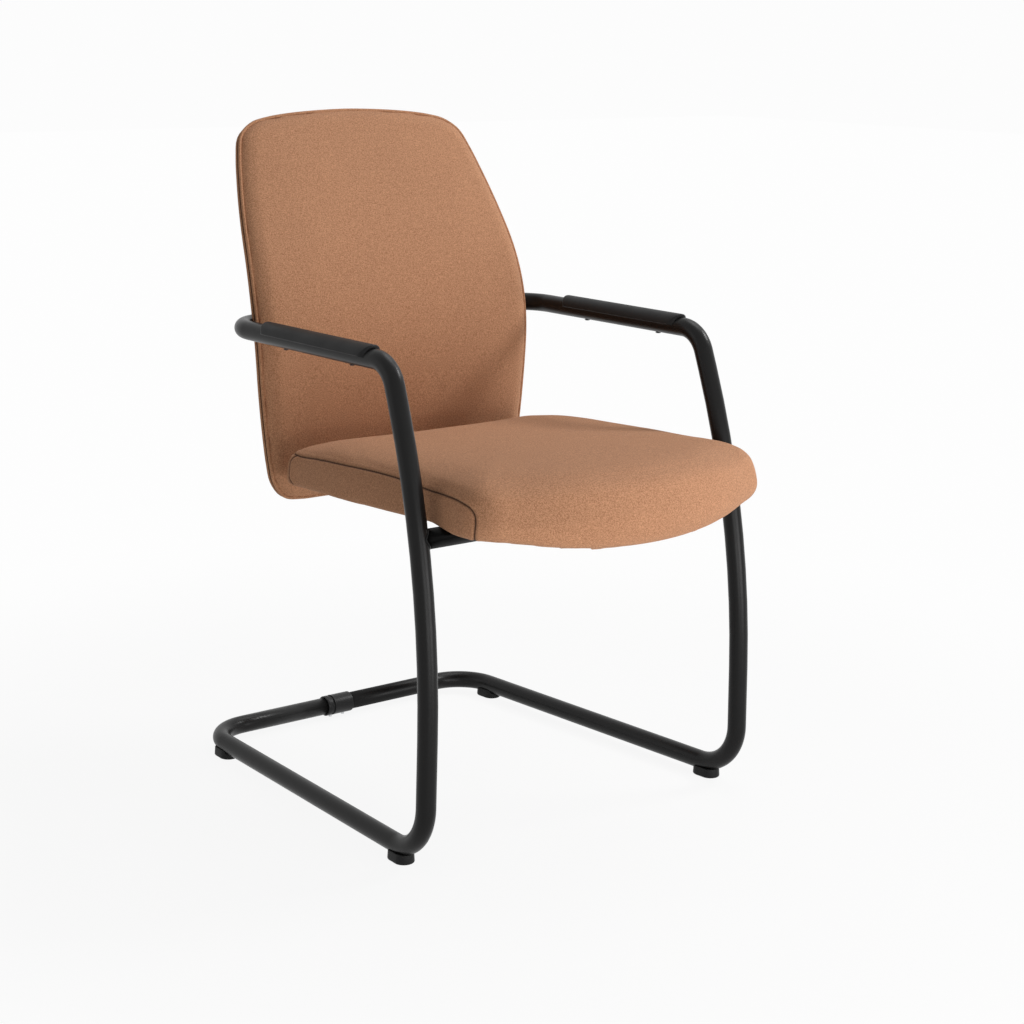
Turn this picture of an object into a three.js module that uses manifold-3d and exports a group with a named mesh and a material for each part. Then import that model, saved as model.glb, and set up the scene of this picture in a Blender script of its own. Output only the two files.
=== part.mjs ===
// Sled base visitor chair: a bent tube frame, an upholstered seat and back, arm pads and glides.
// Millimetres, +Z up. The chair faces -Y and the sitter's left is +X.
// Heights are above the floor. Depths are behind the foot of the front legs, until the last
// lines move the origin to the middle of the floor under the chair.
import * as THREE from 'three';
import { mergeVertices } from 'three/addons/utils/BufferGeometryUtils.js';
import Module from 'manifold-3d';

const wasm = await Module();
wasm.setup();

// Fits
const gap = 0.3; // between two pieces that touch
const overrun = 6; // how far a cutter runs past the piece that it cuts
const weldDistance = 0.0001; // corners closer than this are one corner

// Frame tube
const tubeDiameter = 25;
const tubeWall = 2;
const runnerLength = 565.5; // from the front legs back to the rear floor bar
const frontHalfWidth = 262; // middle of the chair to the foot of a front leg
const rearHalfWidth = 230; // middle of the chair to the rear corner of the base
const rearBendRadius = 60;
const frontBendRadius = 66;
const legStraight = 150; // upright stretch above the runner before the leg leans back
const legBendRadius = 1135;
const legLean = 20.4; // degrees from upright at the top of the leg
const armHeight = 615; // middle of the arm tube above the floor
const armHalfWidth = 250.6;
const armBendRadius = 42;
const backBarRoom = 27.4; // from the back's seam surface at arm height to the bar behind it
const backBarBendRadius = 55;
const jointGap = 0.6; // between the two tube ends in the floor joint
const jointOffset = 10.8; // the floor joint sits right of the middle
const tubeSides = 12;
const boreSides = 8;
const bendStep = 15; // degrees of bend between two rings
const longBendStep = 3.6; // the same on the leg's long curve

// Floor joint
const sleeveLength = 44;
const sleeveDiameter = 29.4;
const sleeveGrooveWidth = 3.5;
const sleeveGrooveDepth = 1.2;
const sleeveGrooveInset = 8; // from the sleeve's right end to its groove
const sleeveChamfer = 0.8;
const sleeveSides = 20;
const spigotLength = 90;
const grubDiameter = 5;
const grubLength = 4.4;
const grubSpacing = 22;

// Glides
const glideSole = 6.5; // plastic between the tube and the floor
const glideLength = 40;
const glideWidth = 27;
const glideHeight = 13;
const glideEdge = 1.6;
const glideOutlineCount = 16;
const frontGlideDepth = 54;
const rearGlideInset = 55.5; // ahead of the rear floor bar
const glideScrewDiameter = 4;
const glideScrewHead = 8;
const glideScrewHeadHeight = 2.4;
const glideScrewRecess = 3.2; // head seat above the floor
const glideScrewLength = 9;

// Arm pads
const padThickness = 4;
const padFrontInset = 34; // behind the corner of the arm and the leg
const padRearInset = 96; // ahead of the bar behind the back
const padWrap = 82; // degrees from the top down each side
const padArcSteps = 8;
const padEndRadius = 15; // corners of the pad, seen from above
const padEndSteps = 10;
const padPegDiameter = 9;
const padPegLength = 7;
const padPegInset = 45; // from each end of the pad
const padScrewDiameter = 4;
const padScrewHead = 7.6;
const padScrewHeadHeight = 1.4;

// Cross tube under the seat
const crossTubeHeight = 411;

// Seat, measured from the top of the cross tube and tilted with the seat
const seatTilt = 2.5; // degrees, the rear is lower
const seatHem = 3.5; // lower edge of the side panels
const seatThickness = 60;
const seatCrown = 4.5;
const seatFrontReach = 86; // front corners ahead of the cross tube
const seatBow = 64.5; // middle of the front edge ahead of its corners
const seatRearReach = 369.7;
const seatFrontHalfWidth = 229;
const seatMidHalfWidth = 233;
const seatRearHalfWidth = 222;
const seatFrontCorner = 12;
const seatRearCorner = 46;
const seatMidReach = 110; // widest place behind the cross tube
const seatEdgeRadius = 20;
const seatNoseRadius = 40;
const seatNoseDrop = 10; // how far the front hangs lower than the side panels
const seatBowDrop = 24; // how far its middle hangs lower again
const seatNoseLength = 65; // the stretch over which it drops
const seatRearDrop = 17; // how far the top falls towards the back
const seatRearDropLength = 130;
const seatCornerDrop = 7; // how far the top falls towards the front corners
const seatCornerShare = 0.55; // where that begins, out from the middle
const seatOutlineCount = 48;

const seatBoardThickness = 12;
const seatBoardInset = 18;
const coverThickness = 1.5;
const coverInset = 24;
const coverFront = 22; // ahead of the cross tube's middle

// Rails
const railWidth = 40;
const railThickness = 5;
const railSpacing = 200; // between the middles of the two rails
const railNose = 15; // ahead of the cross tube's middle
const railBendRadius = 9;
const railUpright = 96;
const railSaddleLength = 22;
const seatScrewFront = 70; // behind the cross tube
const seatScrewRearInset = 95; // ahead of the seat's rear end
const backScrewRises = [38, 76];

// Back
const seatBackRoom = 30.7; // from the seat's rear end to the seam plane of the lower back
const backBottom = 376.5;
const backTop = 886.5;
const backWideHeight = 619;
const backHalfWidth = 226;
const backLumbarHeight = 559.5;
const backLumbarRadius = 349;
const backRecline = 27.3; // degrees from upright at the top
// Each end of the back's outline: how squarely it starts and how bluntly it closes, the share of
// its width that it loses on the way, and how late it loses it.
const backTopEnd = { height: backTop, squareness: 30.5, bluntness: 1.57, taper: 0.228, delay: 1.95 };
const backLowEnd = { height: backBottom, squareness: 15, bluntness: 15, taper: 0.097, delay: 1.79 };
const backEdgeDepth = 16.5; // the seam back from the fold round the front face
const backEdgeInset = 12.5; // the fold in from the seam
const backCrown = 8;
const backBoardThickness = 8;
const backBoardInset = 15;
const panelThickness = 8;
const panelEdgeInset = 3.5;
const panelCrown = 2;
const backOutlineCount = 64;
const backOutlineFineCount = 200;
const backBoardRows = 18;

// Bracket plates behind the back
const bracketSpacing = 220;
const bracketWidth = 46;
const bracketHeight = 70;
const bracketThickness = 4;
const bracketWebHeight = 20;
const bracketScrewRise = 25;

// Machine screws and tee nuts
const screwDiameter = 6;
const screwHead = 11;
const screwHeadHeight = 3.3;
const screwSocketWidth = 4;
const screwSocketDepth = 2;
const teeFlange = 18;
const teeFlangeThickness = 1.2;
const teeBarrel = 8.4;
const teeBarrelLength = 6.4;
const teeRecess = 1; // flange below the face of the board
const fastenerSides = 8;
const socketSides = 6;
const headShares = { rim: 0.45, crown: 0.36 }; // of the head's height and of its diameter

const tubeRadius = tubeDiameter / 2;
const boreRadius = tubeRadius - tubeWall;
const boreFit = boreRadius * Math.cos(Math.PI / boreSides) - gap;
const runnerHeight = glideSole + tubeRadius;
const screwHole = screwDiameter / 2 + gap;

// Places that follow from other sizes
const rearGlideDepth = runnerLength - rearGlideInset;
const seatRearDepth = legDepth(crossTubeHeight) + seatRearReach * Math.cos(radians(seatTilt));
const backDepth = seatRearDepth + seatBackRoom;
const backBarDepth = backProfile(armHeight).depth + backBarRoom;
const seatScrewDepths = [seatScrewFront, seatRearReach - seatScrewRearInset];

const finishes = {
  powderCoat: { color: 0x1a1a1b, roughness: 0.42, metalness: 0.35 },
  plastic: { color: 0x161617, roughness: 0.55, metalness: 0 },
  fabric: { color: 0xb98560, roughness: 0.95, metalness: 0 },
  felt: { color: 0x1c1c1d, roughness: 0.95, metalness: 0 },
  plywood: { color: 0xc9a877, roughness: 0.7, metalness: 0 },
  steel: { color: 0xb4b6b8, roughness: 0.35, metalness: 0.9 },
};

const chair = new THREE.Group();
const seatGroup = new THREE.Group();
chair.add(seatGroup);

// Solids

function radians(degrees) {
  return THREE.MathUtils.degToRad(degrees);
}

function makeSolid(points, corners) {
  return new wasm.Manifold(new wasm.Mesh({ numProp: 3, vertProperties: points, triVerts: corners }));
}

// A closed solid from a geometry, moved by a matrix, with shared corners and its faces out.
function toSolid(geometry, place = new THREE.Matrix4()) {
  const bare = new THREE.BufferGeometry();
  bare.setAttribute('position', geometry.getAttribute('position').clone());
  if (geometry.index) bare.setIndex(geometry.index.clone());
  bare.applyMatrix4(place);
  const merged = mergeVertices(bare, weldDistance);
  const points = merged.getAttribute('position').array;
  const corners = [];
  for (let i = 0; i < merged.index.count; i += 3) {
    const [a, b, c] = merged.index.array.slice(i, i + 3);
    if (a !== b && b !== c && c !== a) corners.push(a, b, c);
  }
  const solid = makeSolid(points, new Uint32Array(corners));
  if (solid.volume() > 0) return solid;
  return makeSolid(points, new Uint32Array(corners.reverse()));
}

function toGeometry(solid) {
  const mesh = solid.getMesh();
  const geometry = new THREE.BufferGeometry();
  geometry.setAttribute('position', new THREE.BufferAttribute(mesh.vertProperties, 3));
  geometry.setIndex(new THREE.BufferAttribute(mesh.triVerts, 1));
  return geometry;
}

function addPiece(name, solid, finish, parent = chair) {
  const mesh = new THREE.Mesh(toGeometry(solid), new THREE.MeshStandardMaterial(finishes[finish]));
  mesh.name = name;
  parent.add(mesh);
  return mesh;
}

function cut(solid, ...cutters) {
  return cutters.reduce((rest, cutter) => rest.subtract(cutter), solid);
}

function moved(x, y, z) {
  return new THREE.Matrix4().makeTranslation(x, y, z);
}

// A matrix that stands a +Z shape at a point, along a direction.
function facing(point, direction) {
  const turn = new THREE.Quaternion().setFromUnitVectors(new THREE.Vector3(0, 0, 1), direction);
  return new THREE.Matrix4().compose(point, turn, new THREE.Vector3(1, 1, 1));
}

// A round bar along a direction, from its start point.
function bar(start, direction, length, radius, sides = fastenerSides) {
  const geometry = new THREE.CylinderGeometry(radius, radius, length, sides);
  geometry.rotateX(Math.PI / 2);
  geometry.translate(0, 0, length / 2);
  return toSolid(geometry, facing(start, direction));
}

function block(width, depth, height, place) {
  return toSolid(new THREE.BoxGeometry(width, depth, height), place);
}

// A flat outline made solid upwards from a height.
function slab(outline, low, high, place) {
  const geometry = new THREE.ExtrudeGeometry(new THREE.Shape(outline), {
    depth: high - low,
    bevelEnabled: false,
  });
  geometry.translate(0, 0, low);
  return toSolid(geometry, place);
}

// A closed skin over rings of equal counts, from one end point to the other.
function skin(firstPoint, rings, lastPoint) {
  const count = rings[0].length;
  const points = [firstPoint, ...rings.flat(), lastPoint];
  const last = points.length - 1;
  const corners = [];
  for (let i = 0; i < count; i += 1) {
    const next = (i + 1) % count;
    corners.push(0, 1 + next, 1 + i);
    for (let r = 0; r + 1 < rings.length; r += 1) {
      const here = 1 + r * count;
      const there = here + count;
      corners.push(here + i, here + next, there + next);
      corners.push(here + i, there + next, there + i);
    }
    corners.push(last, last - count + i, last - count + next);
  }
  const geometry = new THREE.BufferGeometry().setFromPoints(points);
  geometry.setIndex(corners);
  return toSolid(geometry);
}

// Outlines

// Moves each point of a closed outline inwards by its own distance.
function insetOutline(outline, distance) {
  const count = outline.length;
  return outline.map((point, i) => {
    const before = outline[(i + count - 1) % count];
    const after = outline[(i + 1) % count];
    const along = after.clone().sub(before).normalize();
    const inward = new THREE.Vector2(-along.y, along.x);
    return point.clone().addScaledVector(inward, distance(inward, point));
  });
}

function evenInset(outline, distance) {
  return insetOutline(outline, () => distance);
}

function circle(radius, sides) {
  const points = [];
  for (let i = 0; i < sides; i += 1) {
    const turn = ((i + 0.5) / sides) * 2 * Math.PI;
    points.push(new THREE.Vector2(radius * Math.cos(turn), radius * Math.sin(turn)));
  }
  return points;
}

// Frame tube

// A line of straight runs and round bends that carries one ring of the section at each station.
class BentLine extends THREE.Curve {
  constructor(corners) {
    super();
    this.stations = [];
    corners.forEach((corner, i) => {
      const before = corners[i - 1];
      const after = corners[i + 1];
      if (before && after) this.addBend(before.at, corner, after.at);
      else this.addEnd(corner.at, before ? before.at : after.at, before ? 1 : -1);
    });
  }

  addEnd(point, other, sense) {
    const tangent = point.clone().sub(other).normalize().multiplyScalar(sense);
    this.stations.push({ point, tangent });
  }

  addBend(before, corner, after) {
    const along = corner.at.clone().sub(before).normalize();
    const onward = after.clone().sub(corner.at).normalize();
    const angle = along.angleTo(onward);
    const inward = onward.clone().addScaledVector(along, -Math.cos(angle)).normalize();
    const start = corner.at.clone().addScaledVector(along, -corner.radius * Math.tan(angle / 2));
    const steps = Math.ceil(angle / radians(corner.step || bendStep));
    for (let i = 0; i <= steps; i += 1) {
      const turn = (angle * i) / steps;
      const point = start.clone();
      point.addScaledVector(along, corner.radius * Math.sin(turn));
      point.addScaledVector(inward, corner.radius * (1 - Math.cos(turn)));
      const tangent = along.clone().multiplyScalar(Math.cos(turn));
      tangent.addScaledVector(inward, Math.sin(turn));
      this.stations.push({ point, tangent });
    }
  }

  get steps() {
    return this.stations.length - 1;
  }

  getUtoTmapping(u) {
    return u;
  }

  mix(t, key) {
    const place = t * this.steps;
    const index = Math.min(Math.floor(place), this.steps - 1);
    return this.stations[index][key].clone().lerp(this.stations[index + 1][key], place - index);
  }

  getPoint(t) {
    return this.mix(t, 'point');
  }

  getTangent(t) {
    return this.mix(t, 'tangent').normalize();
  }
}

function tubeAlong(line, radius, holeRadius) {
  const section = new THREE.Shape(circle(radius, tubeSides));
  if (holeRadius) section.holes.push(new THREE.Path(circle(holeRadius, boreSides).reverse()));
  return toSolid(new THREE.ExtrudeGeometry(section, { steps: line.steps, extrudePath: line }));
}

const legBendHeight = runnerHeight + legStraight + legBendRadius * Math.tan(radians(legLean) / 2);
const armCornerDepth = (armHeight - legBendHeight) * Math.tan(radians(legLean));

const padFront = armCornerDepth + padFrontInset;
const padRear = backBarDepth - padRearInset;

// How far out the leg stands at a height: the legs lean in towards the arms.
function legHalfWidth(height) {
  const share = (height - runnerHeight) / (armHeight - runnerHeight);
  return frontHalfWidth + (armHalfWidth - frontHalfWidth) * share;
}

function frameCorners(side) {
  const at = (x, y, z) => new THREE.Vector3(side * x, y, z);
  return [
    { at: at(jointGap / 2 - side * jointOffset, runnerLength, runnerHeight) },
    { at: at(rearHalfWidth, runnerLength, runnerHeight), radius: rearBendRadius },
    { at: at(frontHalfWidth, 0, runnerHeight), radius: frontBendRadius },
    {
      at: at(legHalfWidth(legBendHeight), 0, legBendHeight),
      radius: legBendRadius,
      step: longBendStep,
    },
    { at: at(armHalfWidth, armCornerDepth, armHeight), radius: armBendRadius },
    { at: at(armHalfWidth, backBarDepth, armHeight), radius: backBarBendRadius },
  ];
}

const frameLine = new BentLine([...frameCorners(1), ...frameCorners(-1).reverse()]);
const frameEnvelope = tubeAlong(frameLine, tubeRadius + gap);

// How far back the leg's middle line is at a height.
function legDepth(height) {
  const rise = Math.max(0, height - runnerHeight - legStraight);
  return legBendRadius - Math.sqrt(legBendRadius ** 2 - rise ** 2);
}

// Half the width between the runners' middle lines at a depth.
function runnerHalfWidth(depth) {
  return frontHalfWidth + ((rearHalfWidth - frontHalfWidth) * depth) / runnerLength;
}

const sides = { left: 1, right: -1 };
const up = new THREE.Vector3(0, 0, 1);
const down = new THREE.Vector3(0, 0, -1);
const left = new THREE.Vector3(1, 0, 0);
const back = new THREE.Vector3(0, 1, 0);
const front = new THREE.Vector3(0, -1, 0);

const glides = [];
for (const [side, sense] of Object.entries(sides)) {
  for (const [end, depth] of Object.entries({ front: frontGlideDepth, rear: rearGlideDepth })) {
    const place = new THREE.Vector3(sense * runnerHalfWidth(depth), depth, 0);
    glides.push({ name: `${end}_${side}`, place });
  }
}

const padPegDepths = { front: padFront + padPegInset, rear: padRear - padPegInset };
const padPegs = [];
for (const [side, sense] of Object.entries(sides)) {
  for (const [end, depth] of Object.entries(padPegDepths)) {
    const place = new THREE.Vector3(sense * armHalfWidth, depth, armHeight);
    padPegs.push({ name: `${side}_${end}`, place });
  }
}

function makeFrame() {
  const glideHoles = glides.map(({ place }) => (
    bar(place, up, runnerHeight, glideScrewDiameter / 2 + gap)));
  const pegHoles = padPegs.map(({ place }) => (
    bar(place, up, tubeRadius + overrun, padPegDiameter / 2 + gap)));
  const screwHoles = padPegs.map(({ place }) => (
    bar(place, down, tubeRadius + overrun, padScrewDiameter / 2 + gap)));
  const frame = cut(tubeAlong(frameLine, tubeRadius, boreRadius), ...glideHoles, ...pegHoles, ...screwHoles);
  addPiece('frame_tube', frame, 'powderCoat');
}

// Floor joint

// A solid of revolution round +Z from points of radius and height.
function turned(profile, sidesCount = fastenerSides) {
  const points = profile.map(([radius, height]) => new THREE.Vector2(radius, height));
  const geometry = new THREE.LatheGeometry(points, sidesCount);
  geometry.rotateX(Math.PI / 2);
  return toSolid(geometry);
}

function makeFloorJoint() {
  const middle = new THREE.Vector3(-jointOffset, runnerLength, runnerHeight);
  const inner = (tubeRadius + gap) / Math.cos(Math.PI / sleeveSides);
  const outer = sleeveDiameter / 2;
  const half = sleeveLength / 2;
  const grooveEnd = half - sleeveGrooveInset;
  const grooveStart = grooveEnd - sleeveGrooveWidth;
  const sleeve = turned([
    [inner, -half],
    [outer - sleeveChamfer, -half],
    [outer, sleeveChamfer - half],
    [outer, grooveStart],
    [outer - sleeveGrooveDepth, grooveStart],
    [outer - sleeveGrooveDepth, grooveEnd],
    [outer, grooveEnd],
    [outer, half - sleeveChamfer],
    [outer - sleeveChamfer, half],
    [inner, half],
    [inner, -half],
  ], sleeveSides);
  const rightwards = facing(middle, left.clone().negate());
  const grubs = Object.entries(sides).map(([side, sense]) => {
    const place = middle.clone().addScaledVector(left, (sense * grubSpacing) / 2);
    place.z -= tubeRadius + gap;
    return { side, place };
  });
  const holes = grubs.map(({ place }) => bar(place, down, overrun, grubDiameter / 2 + gap));
  const placed = toSolid(toGeometry(sleeve), rightwards);
  addPiece('floor_joint_sleeve', cut(placed, ...holes), 'plastic');
  const spigotStart = middle.clone().addScaledVector(left, -spigotLength / 2);
  addPiece('floor_joint_spigot', bar(spigotStart, left, spigotLength, boreFit), 'steel');
  for (const { side, place } of grubs) {
    const screw = turned(socketProfile(grubDiameter / 2, grubLength / 2));
    const grub = cut(bar(new THREE.Vector3(), up, grubLength, grubDiameter / 2), screw);
    const mesh = addPiece(`sleeve_grub_screw_${side}`, grub, 'steel');
    mesh.applyMatrix4(facing(place, down));
    mesh.position.z -= gap;
  }
}

// The socket of a headless screw, as a blind hole from its end.
function socketProfile(radius, depth) {
  return [
    [0, grubLength - depth],
    [radius / 2, grubLength - depth],
    [radius / 2, grubLength + overrun],
    [0, grubLength + overrun],
  ];
}

// Screws and tee nuts, each with its seat at its own origin and its head towards +Z

function makeScrew(diameter, head, headHeight, length) {
  const screw = turned([
    [0, -length],
    [diameter / 2, -length],
    [diameter / 2, 0],
    [head / 2, 0],
    [head / 2, headHeight * headShares.rim],
    [head * headShares.crown, headHeight],
    [0, headHeight],
  ]);
  const socketRadius = (head / screwHead) * (screwSocketWidth / Math.sqrt(3));
  const socketDepth = (headHeight / screwHeadHeight) * screwSocketDepth;
  const start = new THREE.Vector3(0, 0, headHeight - socketDepth);
  return cut(screw, bar(start, up, headHeight, socketRadius, socketSides));
}

function makeTeeNut(extra = 0, open = 0) {
  const bore = extra ? 0 : screwHole;
  const profile = [
    [bore, open],
    [teeFlange / 2 + extra, open],
    [teeFlange / 2 + extra, -teeFlangeThickness - extra],
    [teeBarrel / 2 + extra, -teeFlangeThickness - extra],
    [teeBarrel / 2 + extra, -teeBarrelLength - extra],
    [bore, -teeBarrelLength - extra],
  ];
  if (bore) profile.push([bore, open]);
  return turned(profile);
}

const teePocket = makeTeeNut(gap, teeRecess + overrun);

function pocketAt(point, direction) {
  return toSolid(toGeometry(teePocket), facing(point, direction));
}

function addFastener(name, solid, point, direction, parent = chair) {
  const mesh = addPiece(name, solid, 'steel', parent);
  mesh.applyMatrix4(facing(point, direction));
}

// Glides

function makeGlides() {
  const halfWidth = glideWidth / 2;
  const straight = glideLength / 2 - halfWidth;
  const sole = new THREE.Shape();
  sole.absarc(0, straight, halfWidth, 0, Math.PI);
  sole.absarc(0, -straight, halfWidth, Math.PI, 2 * Math.PI);
  const outline = sole.getSpacedPoints(glideOutlineCount).slice(1);
  const seat = new THREE.Vector3(0, 0, glideScrewRecess);
  for (const { name, place } of glides) {
    const rings = [
      evenInset(outline, glideEdge).map((p) => new THREE.Vector3(p.x, p.y, 0)),
      outline.map((p) => new THREE.Vector3(p.x, p.y, glideEdge)),
      outline.map((p) => new THREE.Vector3(p.x, p.y, glideHeight - glideEdge)),
      evenInset(outline, glideEdge).map((p) => new THREE.Vector3(p.x, p.y, glideHeight)),
    ];
    const body = skin(new THREE.Vector3(), rings, new THREE.Vector3(0, 0, glideHeight));
    const placed = toSolid(toGeometry(body), moved(place.x, place.y, place.z));
    const recess = bar(place.clone().addScaledVector(down, overrun), up,
      glideScrewRecess + overrun, glideScrewHead / 2 + gap);
    const hole = bar(place, up, glideHeight, glideScrewDiameter / 2 + gap);
    addPiece(`glide_${name}`, cut(placed, frameEnvelope, recess, hole), 'plastic');
    const screw = makeScrew(glideScrewDiameter, glideScrewHead, glideScrewHeadHeight, glideScrewLength);
    const under = place.clone().add(seat).addScaledVector(down, gap);
    addFastener(`glide_screw_${name}`, screw, under, down);
  }
}

// Arm pads, made round the middle line of an arm tube

// The bore's flats clear the tube.
const padBore = (tubeRadius + gap) / Math.cos(radians(padWrap) / padArcSteps);
const padHalfWidth = tubeRadius + gap + padThickness;

function padSection() {
  const start = Math.PI / 2 - radians(padWrap);
  const end = Math.PI / 2 + radians(padWrap);
  const section = new THREE.Shape();
  section.absarc(0, 0, padHalfWidth, start, end, false);
  section.absarc(0, 0, padBore, end, start, true);
  return section;
}

// The pad's outline from above, with round corners.
function padPlan() {
  const corners = [[1, padFront, 0], [1, padRear, 1], [-1, padRear, 2], [-1, padFront, 3]];
  const plan = new THREE.Path();
  for (const [sense, end, turns] of corners) {
    const inward = end === padFront ? padEndRadius : -padEndRadius;
    const start = ((turns - 1) * Math.PI) / 2;
    plan.absarc(sense * (padHalfWidth - padEndRadius), end + inward, padEndRadius, start, start + Math.PI / 2);
  }
  return plan.getPoints(padEndSteps);
}

function padLength() {
  const geometry = new THREE.ExtrudeGeometry(padSection(), {
    depth: padRear - padFront,
    bevelEnabled: false,
    curveSegments: padArcSteps,
  });
  geometry.rotateX(Math.PI / 2);
  geometry.translate(0, padRear, 0);
  return toSolid(geometry);
}

function makePads() {
  const reach = padHalfWidth + overrun;
  let pad = padLength().intersect(slab(padPlan(), -reach, reach));
  for (const depth of Object.values(padPegDepths)) {
    const foot = new THREE.Vector3(0, depth, tubeRadius - padPegLength);
    const length = padPegLength + gap + padThickness / 2;
    pad = pad.add(bar(foot, up, length, padPegDiameter / 2));
    pad = cut(pad, bar(new THREE.Vector3(0, depth, 0), up, tubeRadius + gap, padScrewDiameter / 2 + gap));
  }
  for (const [side, sense] of Object.entries(sides)) {
    const mesh = addPiece(`arm_pad_${side}`, pad, 'plastic');
    mesh.position.set(sense * armHalfWidth, 0, armHeight);
  }
  const screwLength = 2 * tubeRadius - gap;
  const screw = makeScrew(padScrewDiameter, padScrewHead, padScrewHeadHeight, screwLength);
  for (const { name, place } of padPegs) {
    const under = place.clone().addScaledVector(down, tubeRadius + gap);
    addFastener(`arm_pad_screw_${name}`, screw, under, down);
  }
}

// Cross tube

const crossTubeDepth = legDepth(crossTubeHeight);
const crossTubeReach = legHalfWidth(crossTubeHeight);
const crossTubeMiddle = new THREE.Vector3(0, crossTubeDepth, crossTubeHeight);

function crossTubeBar(radius, holeRadius) {
  const line = new BentLine([
    { at: crossTubeMiddle.clone().addScaledVector(left, crossTubeReach) },
    { at: crossTubeMiddle.clone().addScaledVector(left, -crossTubeReach) },
  ]);
  return tubeAlong(line, radius, holeRadius);
}

const crossTubeEnvelope = crossTubeBar(tubeRadius + gap);

function makeCrossTube() {
  addPiece('seat_cross_tube', cut(crossTubeBar(tubeRadius, boreRadius), frameEnvelope), 'powderCoat');
}

// Seat

seatGroup.position.copy(crossTubeMiddle).addScaledVector(up, tubeRadius);
seatGroup.rotation.x = -radians(seatTilt);
seatGroup.updateMatrix();
const toSeat = seatGroup.matrix.clone().invert();

function seatPoint(x, y, z) {
  return new THREE.Vector3(x, y, z).applyMatrix4(seatGroup.matrix);
}

function inSeat(solid) {
  return toSolid(toGeometry(solid), toSeat);
}

const railBase = gap;
const coverBase = railBase + railThickness + gap;
const seatBoardBase = coverBase + coverThickness + gap;
const seatBoardTop = seatBoardBase + seatBoardThickness;

// The seat's plan, anticlockwise from the middle of its front edge.
function seatOutline() {
  const cornerY = -seatFrontReach;
  const slope = (2 * seatBow) / seatFrontHalfWidth;
  const run = seatFrontCorner / Math.hypot(1, slope);
  const bowX = seatFrontHalfWidth - run;
  const bowY = cornerY - run * slope;
  const tipY = cornerY - seatBow;
  const rearCornerX = seatRearHalfWidth - seatRearCorner;
  const rearCornerY = seatRearReach - seatRearCorner;
  const half = (sense) => {
    const shape = new THREE.Path();
    shape.moveTo(0, tipY);
    shape.quadraticCurveTo(bowX / 2, tipY, bowX, bowY);
    shape.quadraticCurveTo(seatFrontHalfWidth, cornerY, seatFrontHalfWidth, cornerY + seatFrontCorner);
    shape.quadraticCurveTo(seatFrontHalfWidth, seatMidReach / 2, seatMidHalfWidth, seatMidReach);
    shape.quadraticCurveTo(seatMidHalfWidth, seatMidReach * 2, seatRearHalfWidth, rearCornerY);
    shape.quadraticCurveTo(seatRearHalfWidth, seatRearReach, rearCornerX, seatRearReach);
    shape.lineTo(0, seatRearReach);
    return shape.getSpacedPoints(seatOutlineCount / 2).map((p) => p.setX(p.x * sense));
  };
  const leftHalf = half(1);
  const rightHalf = half(-1).reverse();
  return [...leftHalf, ...rightHalf.slice(1, -1)];
}

const seatPlan = seatOutline();

// How much of a point faces the front.
function frontShare(inward) {
  return Math.max(0, inward.y);
}

// Edge rings from the hem to the top: inward share, height share and extra inward share at the nose.
const seatEdgeShares = [
  [0.6, 0, 0.4],
  [0.2, 0.017, 0.25],
  [0.025, 0.15, 0.07],
  [0, 0.35, 0],
  [0.025, 0.58, 0.05],
  [0.15, 0.75, 0.15],
  [0.45, 0.88, 0.35],
  [1, 0.965, 0.62],
  [1.9, 1, 0.95],
];
// Rings over the top: share of the way out from the middle and share of the crown.
const seatTopShares = [[0.74, 0.45], [0.48, 0.8], [0.22, 0.97]];
const noseWeightShare = 0.8; // height share above which the nose no longer hangs
const hemShare = 0.5; // the inner ring under the seat, out from the middle

function noseDrop(point, heightShare) {
  const weight = Math.max(0, 1 - heightShare / noseWeightShare);
  const fromFront = THREE.MathUtils.smoothstep(-point.y, -seatNoseLength / 3, (seatNoseLength * 2) / 3);
  const across = Math.max(0, 1 - (point.x / seatFrontHalfWidth) ** 2);
  const ahead = THREE.MathUtils.smoothstep(-point.y, seatFrontReach / 2, seatFrontReach + seatBow / 2);
  return weight * (seatNoseDrop * fromFront + seatBowDrop * across * ahead);
}

// How far the top falls towards the back at a depth.
function rearDrop(depth) {
  return seatRearDrop * THREE.MathUtils.smoothstep(depth, seatRearReach - seatRearDropLength, seatRearReach);
}

// How far the top falls towards a front corner.
function cornerDrop(point) {
  const across = THREE.MathUtils.smoothstep(Math.abs(point.x) / seatFrontHalfWidth, seatCornerShare, 1);
  const ahead = THREE.MathUtils.smoothstep(-point.y, -seatNoseLength, seatFrontReach);
  return seatCornerDrop * across * ahead;
}

function seatForm() {
  const middle = new THREE.Vector2(0, (seatRearReach - seatFrontReach) / 2);
  const rings = [];
  const hem = seatPlan.map((p) => middle.clone().lerp(p, hemShare));
  rings.push(hem.map((p) => new THREE.Vector3(p.x, p.y, seatHem)));
  let edge = seatPlan;
  for (const [insetShare, heightShare, noseShare] of seatEdgeShares) {
    edge = insetOutline(seatPlan, (inward) => (
      insetShare * seatEdgeRadius + noseShare * seatNoseRadius * frontShare(inward)));
    rings.push(edge.map((p) => {
      const thickness = seatThickness - rearDrop(p.y) - cornerDrop(p);
      return new THREE.Vector3(p.x, p.y, seatHem + thickness * heightShare - noseDrop(p, heightShare));
    }));
  }
  for (const [outShare, crownShare] of seatTopShares) {
    rings.push(edge.map((p) => {
      const inner = middle.clone().lerp(p, outShare);
      const drop = rearDrop(inner.y) + cornerDrop(inner);
      const height = seatHem + seatThickness + seatCrown * crownShare - drop;
      return new THREE.Vector3(inner.x, inner.y, height);
    }));
  }
  const low = new THREE.Vector3(middle.x, middle.y, seatHem);
  const high = new THREE.Vector3(middle.x, middle.y, seatHem + seatThickness + seatCrown);
  return skin(low, rings, high);
}

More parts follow.
